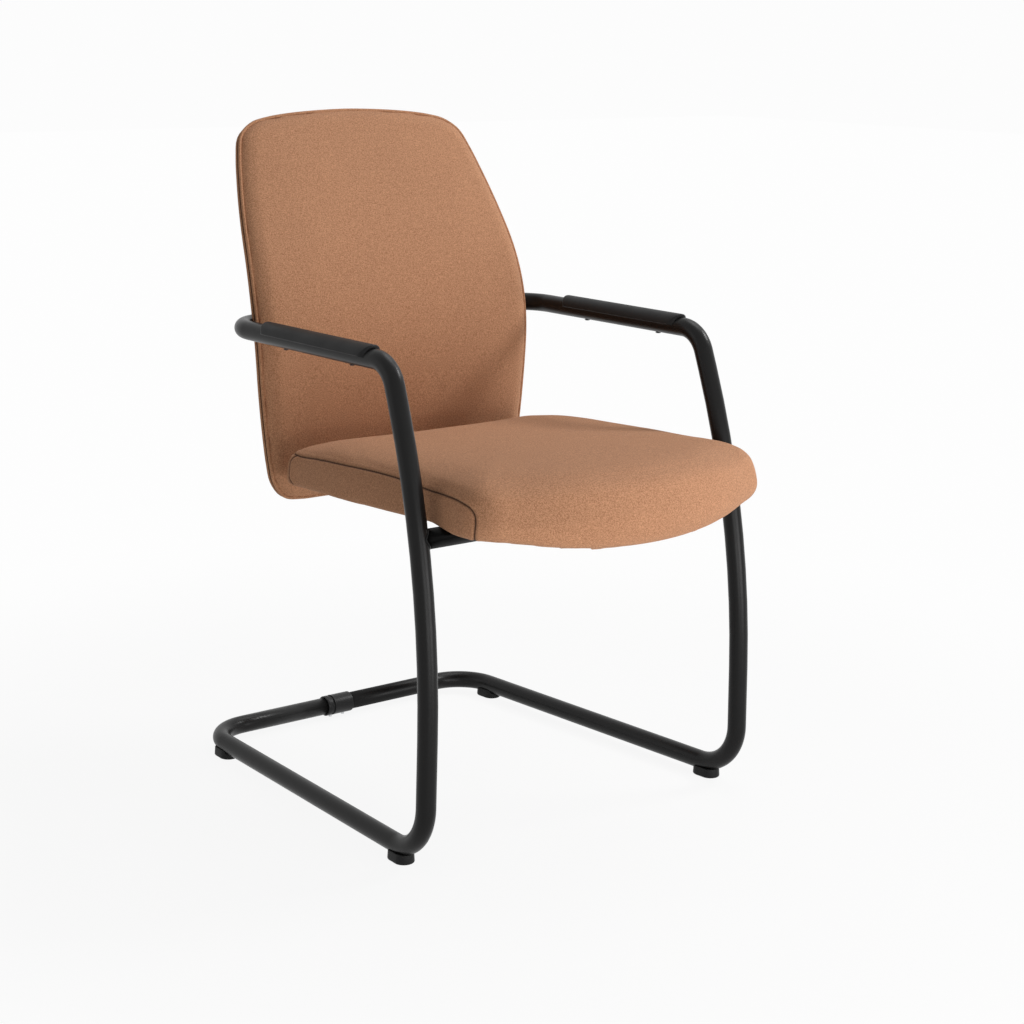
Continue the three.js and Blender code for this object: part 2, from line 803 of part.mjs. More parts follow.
function coverForm(extra, low, high) {
  const outline = evenInset(seatPlan, coverInset - extra);
  const depth = seatRearReach + coverFront;
  const keep = block(2 * seatMidHalfWidth, depth + extra, seatThickness * 2,
    moved(0, depth / 2 - coverFront - extra / 2, 0));
  return slab(outline, low, high).intersect(keep);
}

function seatBoardForm(extra) {
  const outline = evenInset(seatPlan, seatBoardInset - extra);
  return slab(outline, seatBoardBase - extra, seatBoardTop + extra);
}

// Rails: strips under the seat board that turn up in front of the back board

const railPlane = backDepth - backBoardThickness - railThickness / 2 - 2 * gap;
const railLevel = railBase + railThickness / 2;

function railLine(x) {
  const tilt = radians(seatTilt);
  const reach = (railPlane - seatGroup.position.y - railLevel * Math.sin(tilt)) / Math.cos(tilt);
  const corner = seatPoint(x, reach, railLevel);
  return new BentLine([
    { at: seatPoint(x, -railNose, railLevel) },
    { at: corner, radius: railBendRadius },
    { at: corner.clone().addScaledVector(up, railUpright) },
  ]);
}

function railStrip(x, extra) {
  const width = railWidth / 2 + extra;
  const thickness = railThickness / 2 + extra;
  const section = new THREE.Shape([
    new THREE.Vector2(-width, -thickness),
    new THREE.Vector2(width, -thickness),
    new THREE.Vector2(width, thickness),
    new THREE.Vector2(-width, thickness),
  ]);
  const line = railLine(x);
  return toSolid(new THREE.ExtrudeGeometry(section, { steps: line.steps, extrudePath: line }));
}

const rails = [];
for (const [side, sense] of Object.entries(sides)) rails.push({ side, x: (sense * railSpacing) / 2 });

const seatScrews = [];
const backScrews = [];
for (const { side, x } of rails) {
  const corner = railLine(x).stations.at(-1).point.z - railUpright;
  seatScrewDepths.forEach((depth, i) => {
    seatScrews.push({ name: `${side}_${i ? 'rear' : 'front'}`, x, y: depth });
  });
  backScrewRises.forEach((rise, i) => {
    const name = `${side}_${i ? 'upper' : 'lower'}`;
    backScrews.push({ name, place: new THREE.Vector3(x, railPlane, corner + rise) });
  });
}

function makeRails() {
  for (const { side, x } of rails) {
    const saddle = block(railWidth, railSaddleLength, tubeRadius,
      moved(x, crossTubeDepth, crossTubeHeight + tubeRadius / 2 + railLevel));
    let rail = railStrip(x, 0);
    rail = rail.add(saddle.intersect(railEnvelopeBelow(x)));
    const seatHoles = seatScrews.map((screw) => (
      bar(seatPoint(screw.x, screw.y, -overrun), seatUp(), railThickness + 3 * overrun, screwHole)));
    const backHoles = backScrews.map(({ place }) => (
      bar(place.clone().addScaledVector(front, overrun), back, 2 * overrun, screwHole)));
    addPiece(`seat_rail_${side}`, cut(rail, crossTubeEnvelope, ...seatHoles, ...backHoles), 'powderCoat');
  }
}

function seatUp() {
  return up.clone().transformDirection(seatGroup.matrix);
}

// The space between a rail's own level and the cross tube.
function railEnvelopeBelow(x) {
  const room = block(railWidth, railSaddleLength * 2, tubeRadius * 2, moved(x, 0, railLevel - tubeRadius));
  return toSolid(toGeometry(room), seatGroup.matrix);
}

function makeSeat() {
  const railCuts = rails.map(({ x }) => inSeat(railStrip(x, gap)));
  const pockets = seatScrews.map(({ x, y }) => (
    pocketAt(new THREE.Vector3(x, y, seatBoardTop - teeRecess), up)));
  const holes = seatScrews.map(({ x, y }) => (
    bar(new THREE.Vector3(x, y, 0), up, seatBoardTop + overrun, screwHole)));
  const board = cut(seatBoardForm(0), ...pockets, ...holes);
  addPiece('seat_board', board, 'plywood', seatGroup);
  const cover = cut(coverForm(0, coverBase, coverBase + coverThickness), ...holes);
  addPiece('seat_underside_cover', cover, 'felt', seatGroup);
  const under = coverForm(gap, -seatThickness, seatBoardBase);
  const cushion = cut(seatForm(), seatBoardForm(gap), under, inSeat(crossTubeEnvelope), ...railCuts);
  addPiece('seat_cushion', cushion, 'fabric', seatGroup);
  const grip = seatBoardTop - teeRecess - railBase;
  const screw = makeScrew(screwDiameter, screwHead, screwHeadHeight, grip);
  const nut = makeTeeNut();
  for (const { name, x, y } of seatScrews) {
    addFastener(`seat_screw_${name}`, screw, new THREE.Vector3(x, y, railBase - gap), down, seatGroup);
    const nutPlace = new THREE.Vector3(x, y, seatBoardTop - teeRecess);
    addFastener(`seat_tee_nut_${name}`, nut, nutPlace, up, seatGroup);
  }
}

// Back

// Where the seam surface of the back is at a height, and how far it leans there.
function backProfile(height) {
  const recline = radians(backRecline);
  const rise = Math.max(0, height - backLumbarHeight);
  const straightRise = backLumbarRadius * Math.sin(recline);
  const onArc = Math.min(rise, straightRise);
  const lean = Math.asin(onArc / backLumbarRadius);
  const arcDepth = backLumbarRadius * (1 - Math.cos(lean));
  return { depth: backDepth + arcDepth + (rise - onArc) * Math.tan(recline), lean };
}

// A point of the back: across, up the seam surface, and forward of that surface.
function backPoint(across, height, forward) {
  const { depth, lean } = backProfile(height);
  return new THREE.Vector3(across, depth - forward * Math.cos(lean), height + forward * Math.sin(lean));
}

// A point of the back's outline, a share of the way from its widest height to an end of it.
function backOutlinePoint(end, share) {
  const rise = Math.sin((share * Math.PI) / 2);
  const across = (1 - rise ** end.squareness) ** (1 / end.bluntness);
  const halfWidth = backHalfWidth * (1 - end.taper * rise ** end.delay);
  return new THREE.Vector2(halfWidth * across, backWideHeight + (end.height - backWideHeight) * rise);
}

// The back's outline, anticlockwise from the middle of its lower edge.
function backOutline() {
  const points = [];
  for (let i = -backOutlineFineCount; i <= backOutlineFineCount; i += 1) {
    const end = i < 0 ? backLowEnd : backTopEnd;
    points.push(backOutlinePoint(end, Math.abs(i) / backOutlineFineCount));
  }
  const half = new THREE.Path(points).getSpacedPoints(backOutlineCount / 2);
  const other = half.slice(1, -1).reverse().map((p) => new THREE.Vector2(-p.x, p.y));
  return [...half, ...other];
}

const backShape = backOutline();
const backMiddle = new THREE.Vector2(0, (backBottom + backTop) / 2);

// A padded form on the back's curve, from rings of inset and forward distance.
function backForm(edgeRings, rearForward, frontRings) {
  const place = (outline, forward) => outline.map((p) => backPoint(p.x, p.y, forward));
  const inner = (outline, share) => outline.map((p) => backMiddle.clone().lerp(p, share));
  const firstInset = evenInset(backShape, edgeRings[0][0]);
  const lastInset = evenInset(backShape, edgeRings.at(-1)[0]);
  const rings = [];
  for (const share of seamSideShares) rings.push(place(inner(firstInset, share), rearForward));
  for (const [inset, forward] of edgeRings) rings.push(place(evenInset(backShape, inset), forward));
  for (const [share, forward] of frontRings) rings.push(place(inner(lastInset, share), forward));
  const rearMiddle = backPoint(backMiddle.x, backMiddle.y, rearForward);
  const frontMiddle = backPoint(backMiddle.x, backMiddle.y, frontRings.at(-1)[1]);
  return skin(rearMiddle, rings, frontMiddle);
}

// Rings round the edge of the cushion: share of the fold's inset and share of its depth.
const foldShares = [[0, 0], [-0.04, 0.25], [0.12, 0.55], [0.45, 0.8], [1, 1], [1.9, 1.12]];
// Rings over a face: share of the way out from the middle and share of the crown.
const faceShares = [[0.8, 0.4], [0.6, 0.65], [0.4, 0.85], [0.2, 0.97]];
// Rings over the flat side that meets the other form: share of the way out from the middle.
const seamSideShares = [0.25, 0.5, 0.75];

function backCushionForm() {
  const edges = foldShares.map(([inset, depth]) => [inset * backEdgeInset, gap / 2 + depth * backEdgeDepth]);
  const faceStart = edges.at(-1)[1];
  const face = faceShares.map(([share, crown]) => [share, faceStart + crown * backCrown]);
  return backForm(edges, gap / 2, face);
}

// Rings round the edge of the outer panel: share of its edge inset and share of its thickness.
const panelEdgeShares = [[0.3, 0], [0, 0.15], [0, 0.7], [0.6, 0.95], [3, 1.1]];

function outerPanelForm() {
  const edges = panelEdgeShares.map(([inset, depth]) => (
    [inset * panelEdgeInset, -gap / 2 - depth * panelThickness]));
  const faceStart = edges.at(-1)[1];
  const face = faceShares.map(([share, crown]) => [share, faceStart - crown * panelCrown]);
  return backForm(edges, -gap / 2, face);
}

// The moulded board: a strip with the back's curve, cut to the outline.
function backBoardForm(extra, behind = 0) {
  const rear = [];
  const fore = [];
  for (let i = 0; i <= backBoardRows; i += 1) {
    const height = backBottom + ((backTop - backBottom) * i) / backBoardRows;
    const behindPoint = backPoint(0, height, gap - extra - behind);
    const ahead = backPoint(0, height, gap + backBoardThickness + extra);
    rear.push(new THREE.Vector2(behindPoint.y, behindPoint.z));
    fore.push(new THREE.Vector2(ahead.y, ahead.z));
  }
  const strip = new THREE.ExtrudeGeometry(new THREE.Shape([...rear, ...fore.reverse()]), {
    depth: 2 * backHalfWidth,
    bevelEnabled: false,
  });
  const alongX = new THREE.Matrix4().makeBasis(back, up, left).setPosition(-backHalfWidth, 0, 0);
  const outline = evenInset(backShape, backBoardInset - extra);
  const prism = slab(outline, -backDepth * 2, backDepth * 2, new THREE.Matrix4().makeBasis(left, up, front));
  return toSolid(strip, alongX).intersect(prism);
}

const bracketLean = backProfile(armHeight).lean;
const bracketOut = new THREE.Vector3(0, Math.cos(bracketLean), -Math.sin(bracketLean));
const bracketSeat = panelThickness * panelEdgeShares.at(-1)[1] + panelCrown / 2;
const brackets = Object.entries(sides).map(([side, sense]) => ({
  side,
  place: backPoint((sense * bracketSpacing) / 2, armHeight, -bracketSeat),
}));

const bracketScrews = [];
for (const { side, place } of brackets) {
  const along = new THREE.Vector3().crossVectors(left, bracketOut);
  for (const [end, sense] of Object.entries({ upper: 1, lower: -1 })) {
    const seat = place.clone().addScaledVector(bracketOut, bracketThickness);
    seat.addScaledVector(along, sense * bracketScrewRise);
    bracketScrews.push({ name: `${side}_${end}`, place: seat });
  }
}

function bracketPlate(place, extra) {
  const centre = place.clone().addScaledVector(bracketOut, bracketThickness / 2);
  const plate = block(bracketWidth + 2 * extra, bracketHeight + 2 * extra, bracketThickness + 2 * extra);
  const along = new THREE.Vector3().crossVectors(bracketOut, left);
  const turn = new THREE.Matrix4().makeBasis(left, along, bracketOut);
  return toSolid(toGeometry(plate), turn.setPosition(centre));
}

function makeBrackets() {
  const barCentre = new THREE.Vector3(0, backBarDepth, armHeight);
  const holes = bracketScrews.map(({ place }) => (
    bar(place.clone().addScaledVector(bracketOut, -overrun), bracketOut, 2 * overrun, screwHole)));
  for (const { side, place } of brackets) {
    const start = place.y + bracketThickness / 2;
    const depth = barCentre.y - start;
    const web = block(bracketWidth, depth, bracketWebHeight,
      moved(place.x, start + depth / 2, armHeight));
    const bracket = cut(bracketPlate(place, 0).add(web), frameEnvelope, ...holes);
    addPiece(`back_bracket_${side}`, bracket, 'powderCoat');
  }
}

function makeBack() {
  const plates = brackets.map(({ place }) => bracketPlate(place, gap));
  const longHoles = bracketScrews.map(({ place }) => (
    bar(place, bracketOut.clone().negate(), bracketGrip + overrun, screwHole)));
  const bracketPockets = bracketScrews.map(({ place }) => (
    pocketAt(teeSeat(place), bracketOut.clone().negate())));
  const backPockets = backScrews.map(({ place }) => pocketAt(lowTeeSeat(place), back));
  const shortHoles = backScrews.map(({ place }) => (
    bar(place, back, railThickness + backBoardThickness, screwHole)));
  const board = cut(backBoardForm(0), ...longHoles, ...bracketPockets, ...backPockets, ...shortHoles);
  addPiece('back_board', board, 'plywood');
  addPiece('back_outer_panel', cut(outerPanelForm(), frameEnvelope, ...plates, ...longHoles), 'fabric');
  const railCuts = rails.map(({ x }) => railStrip(x, gap));
  const headRoom = backScrews.map(({ place }) => (
    bar(place, front, railThickness / 2 + screwHeadHeight + 2 * gap, screwHead / 2 + gap)));
  const tipRoom = bracketScrews.map(({ place }) => (
    bar(place, bracketOut.clone().negate(), bracketGrip + 2 * overrun, screwHole)));
  const cushion = cut(backCushionForm(), backBoardForm(gap, overrun), ...railCuts, ...headRoom,
    ...bracketPockets, ...tipRoom);
  addPiece('back_cushion', cushion, 'fabric');
  const lowScrew = makeScrew(screwDiameter, screwHead, screwHeadHeight, backBoardThickness + railThickness);
  const longScrew = makeScrew(screwDiameter, screwHead, screwHeadHeight, bracketGrip);
  const nut = makeTeeNut();
  for (const { name, place } of backScrews) {
    const seat = place.clone().addScaledVector(front, railThickness / 2 + gap);
    addFastener(`back_low_screw_${name}`, lowScrew, seat, front);
    addFastener(`back_low_tee_nut_${name}`, nut, lowTeeSeat(place), back);
  }
  for (const { name, place } of bracketScrews) {
    const seat = place.clone().addScaledVector(bracketOut, gap);
    addFastener(`back_bracket_screw_${name}`, longScrew, seat, bracketOut);
    addFastener(`back_bracket_tee_nut_${name}`, nut, teeSeat(place), bracketOut.clone().negate());
  }
}

const bracketGrip = bracketThickness + bracketSeat + backBoardThickness;

// Seats of the tee nuts: sunk below the board's front face, and below its rear face for the rails.
function teeSeat(place) {
  const depth = bracketThickness + bracketSeat + gap + backBoardThickness - teeRecess;
  return place.clone().addScaledVector(bracketOut, -depth);
}

function lowTeeSeat(place) {
  return place.clone().setY(backDepth - gap - teeRecess);
}

makeFrame();
makeFloorJoint();
makeGlides();
makePads();
makeCrossTube();
makeRails();
makeSeat();
makeBrackets();
makeBack();

// The origin goes to the middle of the floor under the whole chair.
chair.updateMatrixWorld(true);
const reach = new THREE.Box3().setFromObject(chair, true);
chair.position.y = -(reach.min.y + reach.max.y) / 2;

export default chair;
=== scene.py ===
import math
from functools import partial

import bmesh
import bpy
import numpy as np
from mathutils import Matrix, Vector
from mathutils.bvhtree import BVHTree
from mathutils.kdtree import KDTree


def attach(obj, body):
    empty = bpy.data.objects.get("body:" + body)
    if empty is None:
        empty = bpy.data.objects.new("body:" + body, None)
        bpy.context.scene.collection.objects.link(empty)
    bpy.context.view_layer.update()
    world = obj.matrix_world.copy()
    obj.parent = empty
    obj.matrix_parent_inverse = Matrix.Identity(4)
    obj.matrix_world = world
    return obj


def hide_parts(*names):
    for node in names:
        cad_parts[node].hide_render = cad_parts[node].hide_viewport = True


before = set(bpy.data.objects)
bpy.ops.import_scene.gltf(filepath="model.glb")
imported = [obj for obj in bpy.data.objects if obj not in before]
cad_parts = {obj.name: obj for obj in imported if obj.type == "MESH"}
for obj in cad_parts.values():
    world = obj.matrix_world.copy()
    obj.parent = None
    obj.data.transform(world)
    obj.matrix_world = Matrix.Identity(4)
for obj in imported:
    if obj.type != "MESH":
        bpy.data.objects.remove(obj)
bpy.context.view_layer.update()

# Everything is in metres. Depths are measured back from the foot of the front legs,
# and depthShift takes them to the model's own y.
depthShift = -0.22808845
scene = bpy.context.scene
bothSides = (("left", 1), ("right", -1))
print("frame loaded", len(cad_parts), "nodes")


# small tools

def mix(a, b, t):
    return a + (b - a) * t


def ease(value, low, high):
    t = min(1.0, max(0.0, (value - low) / (high - low)))
    return t * t * (3 - 2 * t)


def at(x, depth, height):
    return Vector((x, depth + depthShift, height))


def makeObject(name, points, faces, material=None, smooth=True):
    mesh = bpy.data.meshes.new(name)
    mesh.from_pydata([tuple(p) for p in points], [], faces)
    mesh.validate()
    piece = bpy.data.objects.new(name, mesh)
    scene.collection.objects.link(piece)
    if material:
        mesh.materials.append(material)
    if smooth:
        mesh.shade_smooth()
    return piece


def faceOut(piece):
    bm = bmesh.new()
    bm.from_mesh(piece.data)
    bmesh.ops.recalc_face_normals(bm, faces=bm.faces)
    bm.to_mesh(piece.data)
    bm.free()


def applyModifiers(piece):
    graph = bpy.context.evaluated_depsgraph_get()
    done = bpy.data.meshes.new_from_object(piece.evaluated_get(graph), depsgraph=graph)
    old = piece.data
    piece.modifiers.clear()
    piece.data = done
    done.name = piece.name
    bpy.data.meshes.remove(old)


def modify(piece, kind, **settings):  # adds a modifier and applies it
    modifier = piece.modifiers.new(kind.lower(), kind)
    for name, value in settings.items():
        setattr(modifier, name, value)
    bpy.context.view_layer.update()
    applyModifiers(piece)


def bevelEdges(piece, width, angle):
    modify(piece, "BEVEL", width=width, segments=2, limit_method="ANGLE", angle_limit=math.radians(angle))
    piece.data.shade_smooth()


def settle(piece, slot, *nodes):  # every piece rides on the one body; slot is not used
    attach(piece, "root")
    if nodes:
        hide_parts(*nodes)


# Faces over rings of equal counts; the first and last ring may be a single point.
def ringFaces(rings):
    faces, start = [], 0
    for here, there in zip(rings, rings[1:]):
        onward, count = start + len(here), max(len(here), len(there))
        for i in range(count):
            k = (i + 1) % count
            if len(here) == 1:
                faces.append((start, onward + k, onward + i))
            elif len(there) == 1:
                faces.append((start + i, start + k, onward))
            else:
                faces.append((start + i, start + k, onward + k, onward + i))
        start = onward
    return faces


def skinRings(name, rings, material, closing=()):  # closing holds the faces that aren't between rings
    faces = ringFaces(rings) + list(closing)
    piece = makeObject(name, [p for ring in rings for p in ring], faces, material)
    faceOut(piece)
    return piece


def curvePoint(a, b, c, d, t):  # Catmull-Rom between b and c
    return 0.5 * (2 * b + (c - a) * t + (2 * a - 5 * b + 4 * c - d) * t * t
                  + (3 * b - a - 3 * c + d) * t ** 3)


def finer(points, steps, closed):
    count = len(points)
    spans = count if closed else count - 1
    out = []
    for i in range(spans):
        places = [(i + k) % count if closed else min(max(i + k, 0), count - 1) for k in (-1, 0, 1, 2)]
        a, b, c, d = (points[place] for place in places)
        out.extend(curvePoint(a, b, c, d, k / steps) for k in range(steps))
    if not closed:
        out.append(points[-1].copy())
    return out


def finerRings(rings, around, across):
    count = max(len(ring) for ring in rings)
    wide = [finer(ring, around, True) if len(ring) > 1 else ring * (count * around) for ring in rings]
    columns = [finer([ring[i] for ring in wide], across, False) for i in range(count * around)]
    out = [[column[r] for column in columns] for r in range(len(columns[0]))]
    return [[out[0][0]]] + out[1:-1] + [[out[-1][0]]]


def evenlySpaced(points, count):  # count + 1 points at equal lengths along a line
    lengths = [0.0]
    for a, b in zip(points, points[1:]):
        lengths.append(lengths[-1] + (b - a).length)
    out, k = [], 0
    for i in range(count + 1):
        target = lengths[-1] * i / count
        while k < len(points) - 2 and lengths[k + 1] < target:
            k += 1
        span = lengths[k + 1] - lengths[k] or 1.0
        out.append(points[k].lerp(points[k + 1], (target - lengths[k]) / span))
    return out


def insetOutline(outline, distance):
    count = len(outline)
    out = []
    for i, point in enumerate(outline):
        along = (outline[(i + 1) % count] - outline[i - 1]).normalized()
        inward = Vector((-along.y, along.x))
        amount = distance(inward) if callable(distance) else distance
        out.append(point + inward * amount)
    return out


# A line of straights and round bends as points with their directions.
def bentLine(corners, step):
    stations = [(corners[0][0], (corners[1][0] - corners[0][0]).normalized())]
    for (before, _), (corner, radius), (after, _) in zip(corners, corners[1:], corners[2:]):
        along = (corner - before).normalized()
        onward = (after - corner).normalized()
        angle = along.angle(onward)
        inward = (onward - along * math.cos(angle)).normalized()
        start = corner - along * radius * math.tan(angle / 2)
        steps = max(2, math.ceil(math.degrees(angle) / step))
        for i in range(steps + 1):
            turn = angle * i / steps
            point = start + along * radius * math.sin(turn) + inward * radius * (1 - math.cos(turn))
            stations.append((point, along * math.cos(turn) + inward * math.sin(turn)))
    stations.append((corners[-1][0], (corners[-1][0] - corners[-2][0]).normalized()))
    return stations


def circle(centre, side, other, radius, sides):  # points in the plane of two directions
    return [centre + (side * math.cos(a) + other * math.sin(a)) * radius
            for a in (2 * math.pi * k / sides for k in range(sides))]


def sweptRings(stations, radius, sides, wave=None):
    rings = []
    normal = stations[0][1].orthogonal().normalized()
    for i, (point, tangent) in enumerate(stations):
        if i:
            normal = stations[i - 1][1].rotation_difference(tangent) @ normal
        normal = (normal - tangent * normal.dot(tangent)).normalized()
        size = radius * (wave(i) if wave else 1.0)
        rings.append(circle(point, normal, tangent.cross(normal), size, sides))
    return rings


def sweptTube(name, stations, radius, sides, material, wave=None):
    rings = sweptRings(stations, radius, sides, wave)
    return skinRings(name, [[stations[0][0]]] + rings + [[stations[-1][0]]], material)


def turnedPiece(name, profile, middle, axis, sides, material):  # profile of length along and radius
    side = axis.orthogonal().normalized()
    other = axis.cross(side)
    rings = [circle(middle + axis * along, side, other, radius, sides) for along, radius in profile]
    return skinRings(name, rings + [rings[0]], material)


def quarterTurn(steps):  # sine and cosine over a quarter turn
    return [(math.sin(a), math.cos(a)) for a in (math.pi / 2 * k / steps for k in range(steps + 1))]


def roundDrop(distance, radius):  # how far a rounded edge lies below its face
    if distance >= radius:
        return 0.0
    return radius - math.sqrt(max(0.0, radius ** 2 - (radius - distance) ** 2))


def cutWith(piece, cutter):
    modify(piece, "BOOLEAN", operation="DIFFERENCE", solver="EXACT", object=cutter)


# soft piece tools

stuffing = {
    "voxel": 0.005, "shrink": 0.003, "reach": 0.006, "frames": 20, "calming": 60,
    "cloth": {
        "quality": 5, "mass": 0.3, "tension_stiffness": 30.0, "compression_stiffness": 30.0,
        "bending_stiffness": 4.0, "use_pressure": True, "uniform_pressure_force": 4.0,
    },
}


def surfaceOf(piece):
    mesh = piece.data
    return BVHTree.FromPolygons([v.co for v in mesh.vertices], [tuple(f.vertices) for f in mesh.polygons])


# Even quads over the same surface, which the cloth needs.
def remeshEvenly(piece):
    surface = surfaceOf(piece)
    modify(piece, "REMESH", mode="VOXEL", voxel_size=stuffing["voxel"])
    for vertex in piece.data.vertices:
        vertex.co = surface.find_nearest(vertex.co)[0]
    piece.data.shade_smooth()


# The cover is blown up from inside where it isn't held, and no point moves further than the reach.
def swell(piece, holding):
    start = [v.co.copy() for v in piece.data.vertices]
    held = piece.vertex_groups.new(name="held")
    for i, point in enumerate(start):
        held.add([i], holding(point), "REPLACE")
    cloth = piece.modifiers.new("stuffed", "CLOTH")
    settings = cloth.settings
    for name, value in stuffing["cloth"].items():
        setattr(settings, name, value)
    settings.effector_weights.gravity = 0
    settings.vertex_group_mass = held.name
    cloth.collision_settings.use_collision = False
    cloth.point_cache.frame_start = 1
    cloth.point_cache.frame_end = stuffing["frames"]
    for step in range(1, stuffing["frames"] + 1):
        scene.frame_set(step)
    graph = bpy.context.evaluated_depsgraph_get()
    swollen = piece.evaluated_get(graph).to_mesh()
    moved = [v.co.copy() for v in swollen.vertices]
    piece.evaluated_get(graph).to_mesh_clear()
    piece.modifiers.clear()
    piece.vertex_groups.clear()
    scene.frame_set(1)
    outward = [v.normal.copy() for v in piece.data.vertices]
    rise = np.array([(after - before).dot(n) for before, after, n in zip(start, moved, outward)])
    reach = stuffing["reach"]
    rise = calmed(piece, reach * np.tanh(rise / reach), np.array([holding(q) for q in start]))
    for vertex, before, n, amount in zip(piece.data.vertices, start, outward, rise):
        vertex.co = before + n * float(amount)


# The foam under the cover evens out the small wrinkles of a value per point.
def calmed(piece, values, holds):
    edges = np.array([e.vertices[:] for e in piece.data.edges])
    share = np.bincount(edges.ravel(), minlength=len(values))
    for _ in range(stuffing["calming"]):
        total = np.bincount(edges[:, 0], values[edges[:, 1]], len(values))
        total += np.bincount(edges[:, 1], values[edges[:, 0]], len(values))
        values = (0.5 * values + 0.5 * total / share) * (1 - holds)
    return values


def stuff(piece, holding):  # remeshes, swells and refines a cushion
    remeshEvenly(piece)
    swell(piece, holding)
    modify(piece, "SUBSURF", levels=1, render_levels=1)
    piece.data.shade_smooth()


# groove and puff are real relief; shade is the width of the painted shade along each seam.
sewing = {
    "step": 0.0004, "reach": 0.009, "finest": 0.0011, "groove": 0.0013, "width": 0.0011, "shade": 0.0013,
    "puff": 0.0005, "puffWidth": 0.0045, "puffSpread": 0.45, "pucker": 0.22, "stitch": 0.0046,
    "guideSteps": 12, "rounds": (1.0, 0.55),
}


# Seams pull the cover in along lines on its surface, and the mesh is made finer there first. Along each
# groove a line of painted shade goes into the seam layer.
def sewSeamsWithShade(piece, guides):
    w = sewing
    surface = surfaceOf(piece)
    line = []
    for guide in guides:
        route = [surface.find_nearest(p)[0] for p in finer(guide, w["guideSteps"], False)]
        length = sum((b - a).length for a, b in zip(route, route[1:]))
        line += evenlySpaced(route, math.ceil(length / w["step"]))
    near = KDTree(len(line))
    for i, point in enumerate(line):
        near.insert(point, i)
    near.balance()
    bm = bmesh.new()
    bm.from_mesh(piece.data)
    for share in w["rounds"]:
        chosen = [e for e in bm.edges if e.calc_length() > w["finest"]
                  and min(near.find(v.co)[2] for v in e.verts) < w["reach"] * share]
        bmesh.ops.subdivide_edges(bm, edges=chosen, cuts=1, use_grid_fill=True)
        bmesh.ops.triangulate(bm, faces=[f for f in bm.faces if len(f.verts) > 4])
    bm.normal_update()
    paintedShades = bm.verts.layers.float.new("seam")
    for vertex in bm.verts:
        _, index, away = near.find(vertex.co)
        if away > w["reach"]:
            continue
        pucker = 1 + w["pucker"] * math.cos(2 * math.pi * index * w["step"] / w["stitch"])
        fromPuff = (away - w["puffWidth"]) / (w["puffSpread"] * w["puffWidth"])
        puff = w["puff"] * math.exp(-fromPuff ** 2)
        dip = w["groove"] * pucker * math.exp(-(away / w["width"]) ** 2)
        vertex.co += vertex.normal * (puff - dip)
        # Painted shade along the seam, over the real groove dug just above.
        vertex[paintedShades] = math.exp(-(away / w["shade"]) ** 2)
    bm.to_mesh(piece.data)
    bm.free()
    piece.data.shade_smooth()


# Paints shade into the seam layer by a function of the place; the back's outer panel uses it for the shadow
# in the crevice behind the piping.
def paintCreviceShade(piece, amount):  # darkens a seam by a function of the place
    layer = piece.data.attributes.new("seam", "FLOAT", "POINT")
    layer.data.foreach_set("value", [amount(v.co) for v in piece.data.vertices])


# shader groups

def emptyTree(owner):
    owner.use_nodes = True
    owner.node_tree.nodes.clear()
    return owner.node_tree


def feed(tree, socket, value):  # sets a socket, or links it to another node's output
    if isinstance(value, bpy.types.NodeSocket):
        tree.links.new(value, socket)
    else:
        socket.default_value = value


def addNode(tree, kind, **inputs):
    node = tree.nodes.new(kind)
    for label, value in inputs.items():
        feed(tree, node.inputs[label.replace("_", " ")], value)
    return node


def addInOrder(tree, kind, values, **settings):  # a node whose inputs are filled from the first on
    node = tree.nodes.new(kind)
    for name, value in settings.items():
        setattr(node, name, value)
    for socket, value in zip(node.inputs, values):
        feed(tree, socket, value)
    return node.outputs[0]


def addMath(tree, operation, *values, clamp=False):
    return addInOrder(tree, "ShaderNodeMath", values, operation=operation, use_clamp=clamp)


def addNoise(tree, vector, scale, detail, roughness):
    return addNode(tree, "ShaderNodeTexNoise", Vector=vector, Scale=scale, Detail=detail,
                   Roughness=roughness).outputs["Fac"]


def addRange(tree, value, fromLow, fromHigh, toLow, toHigh):
    return addNode(tree, "ShaderNodeMapRange", Value=value, From_Min=fromLow, From_Max=fromHigh,
                   To_Min=toLow, To_Max=toHigh).outputs["Result"]


def addMix(tree, factor, a, b, blend="MIX"):
    node = tree.nodes.new("ShaderNodeMix")
    node.data_type = "RGBA"
    node.blend_type = blend
    for index, value in ((0, factor), (6, a), (7, b)):
        feed(tree, node.inputs[index], value)
    return node.outputs[2]


# Each group takes colours and numbers, and gives out a colour, a height for the bump and a roughness.
def newGroup(name, colors, numbers):
    group = bpy.data.node_groups.new(name, "ShaderNodeTree")
    sockets = [("INPUT", colors, "Color"), ("INPUT", numbers, "Float"),
               ("OUTPUT", ["Color"], "Color"), ("OUTPUT", ["Height", "Roughness"], "Float")]
    for way, labels, kind in sockets:
        for label in labels:
            group.interface.new_socket(label, in_out=way, socket_type="NodeSocket" + kind)
    return group, group.nodes.new("NodeGroupInput").outputs, group.nodes.new("ShaderNodeTexCoord").outputs


def splitVector(tree, vector):
    return addNode(tree, "ShaderNodeSeparateXYZ", Vector=vector).outputs


weaveLook = {  # noises as scale, detail and roughness
    "warp": 90.0, "warpReach": 0.0016, "planeSharpness": 5.0,
    "lumps": (620.0, 2.0, 0.7), "fuzz": (2300.0, 2.0, 0.6), "drift": (9.0, 2.0, 0.5),
    "weaveRise": 0.30, "lumpRise": 0.9, "fuzzRise": 0.25, "weaveShade": 0.16, "lumpShade": 1.5,
    "roughness": (0.3, 0.7, 0.82, 0.98),
}
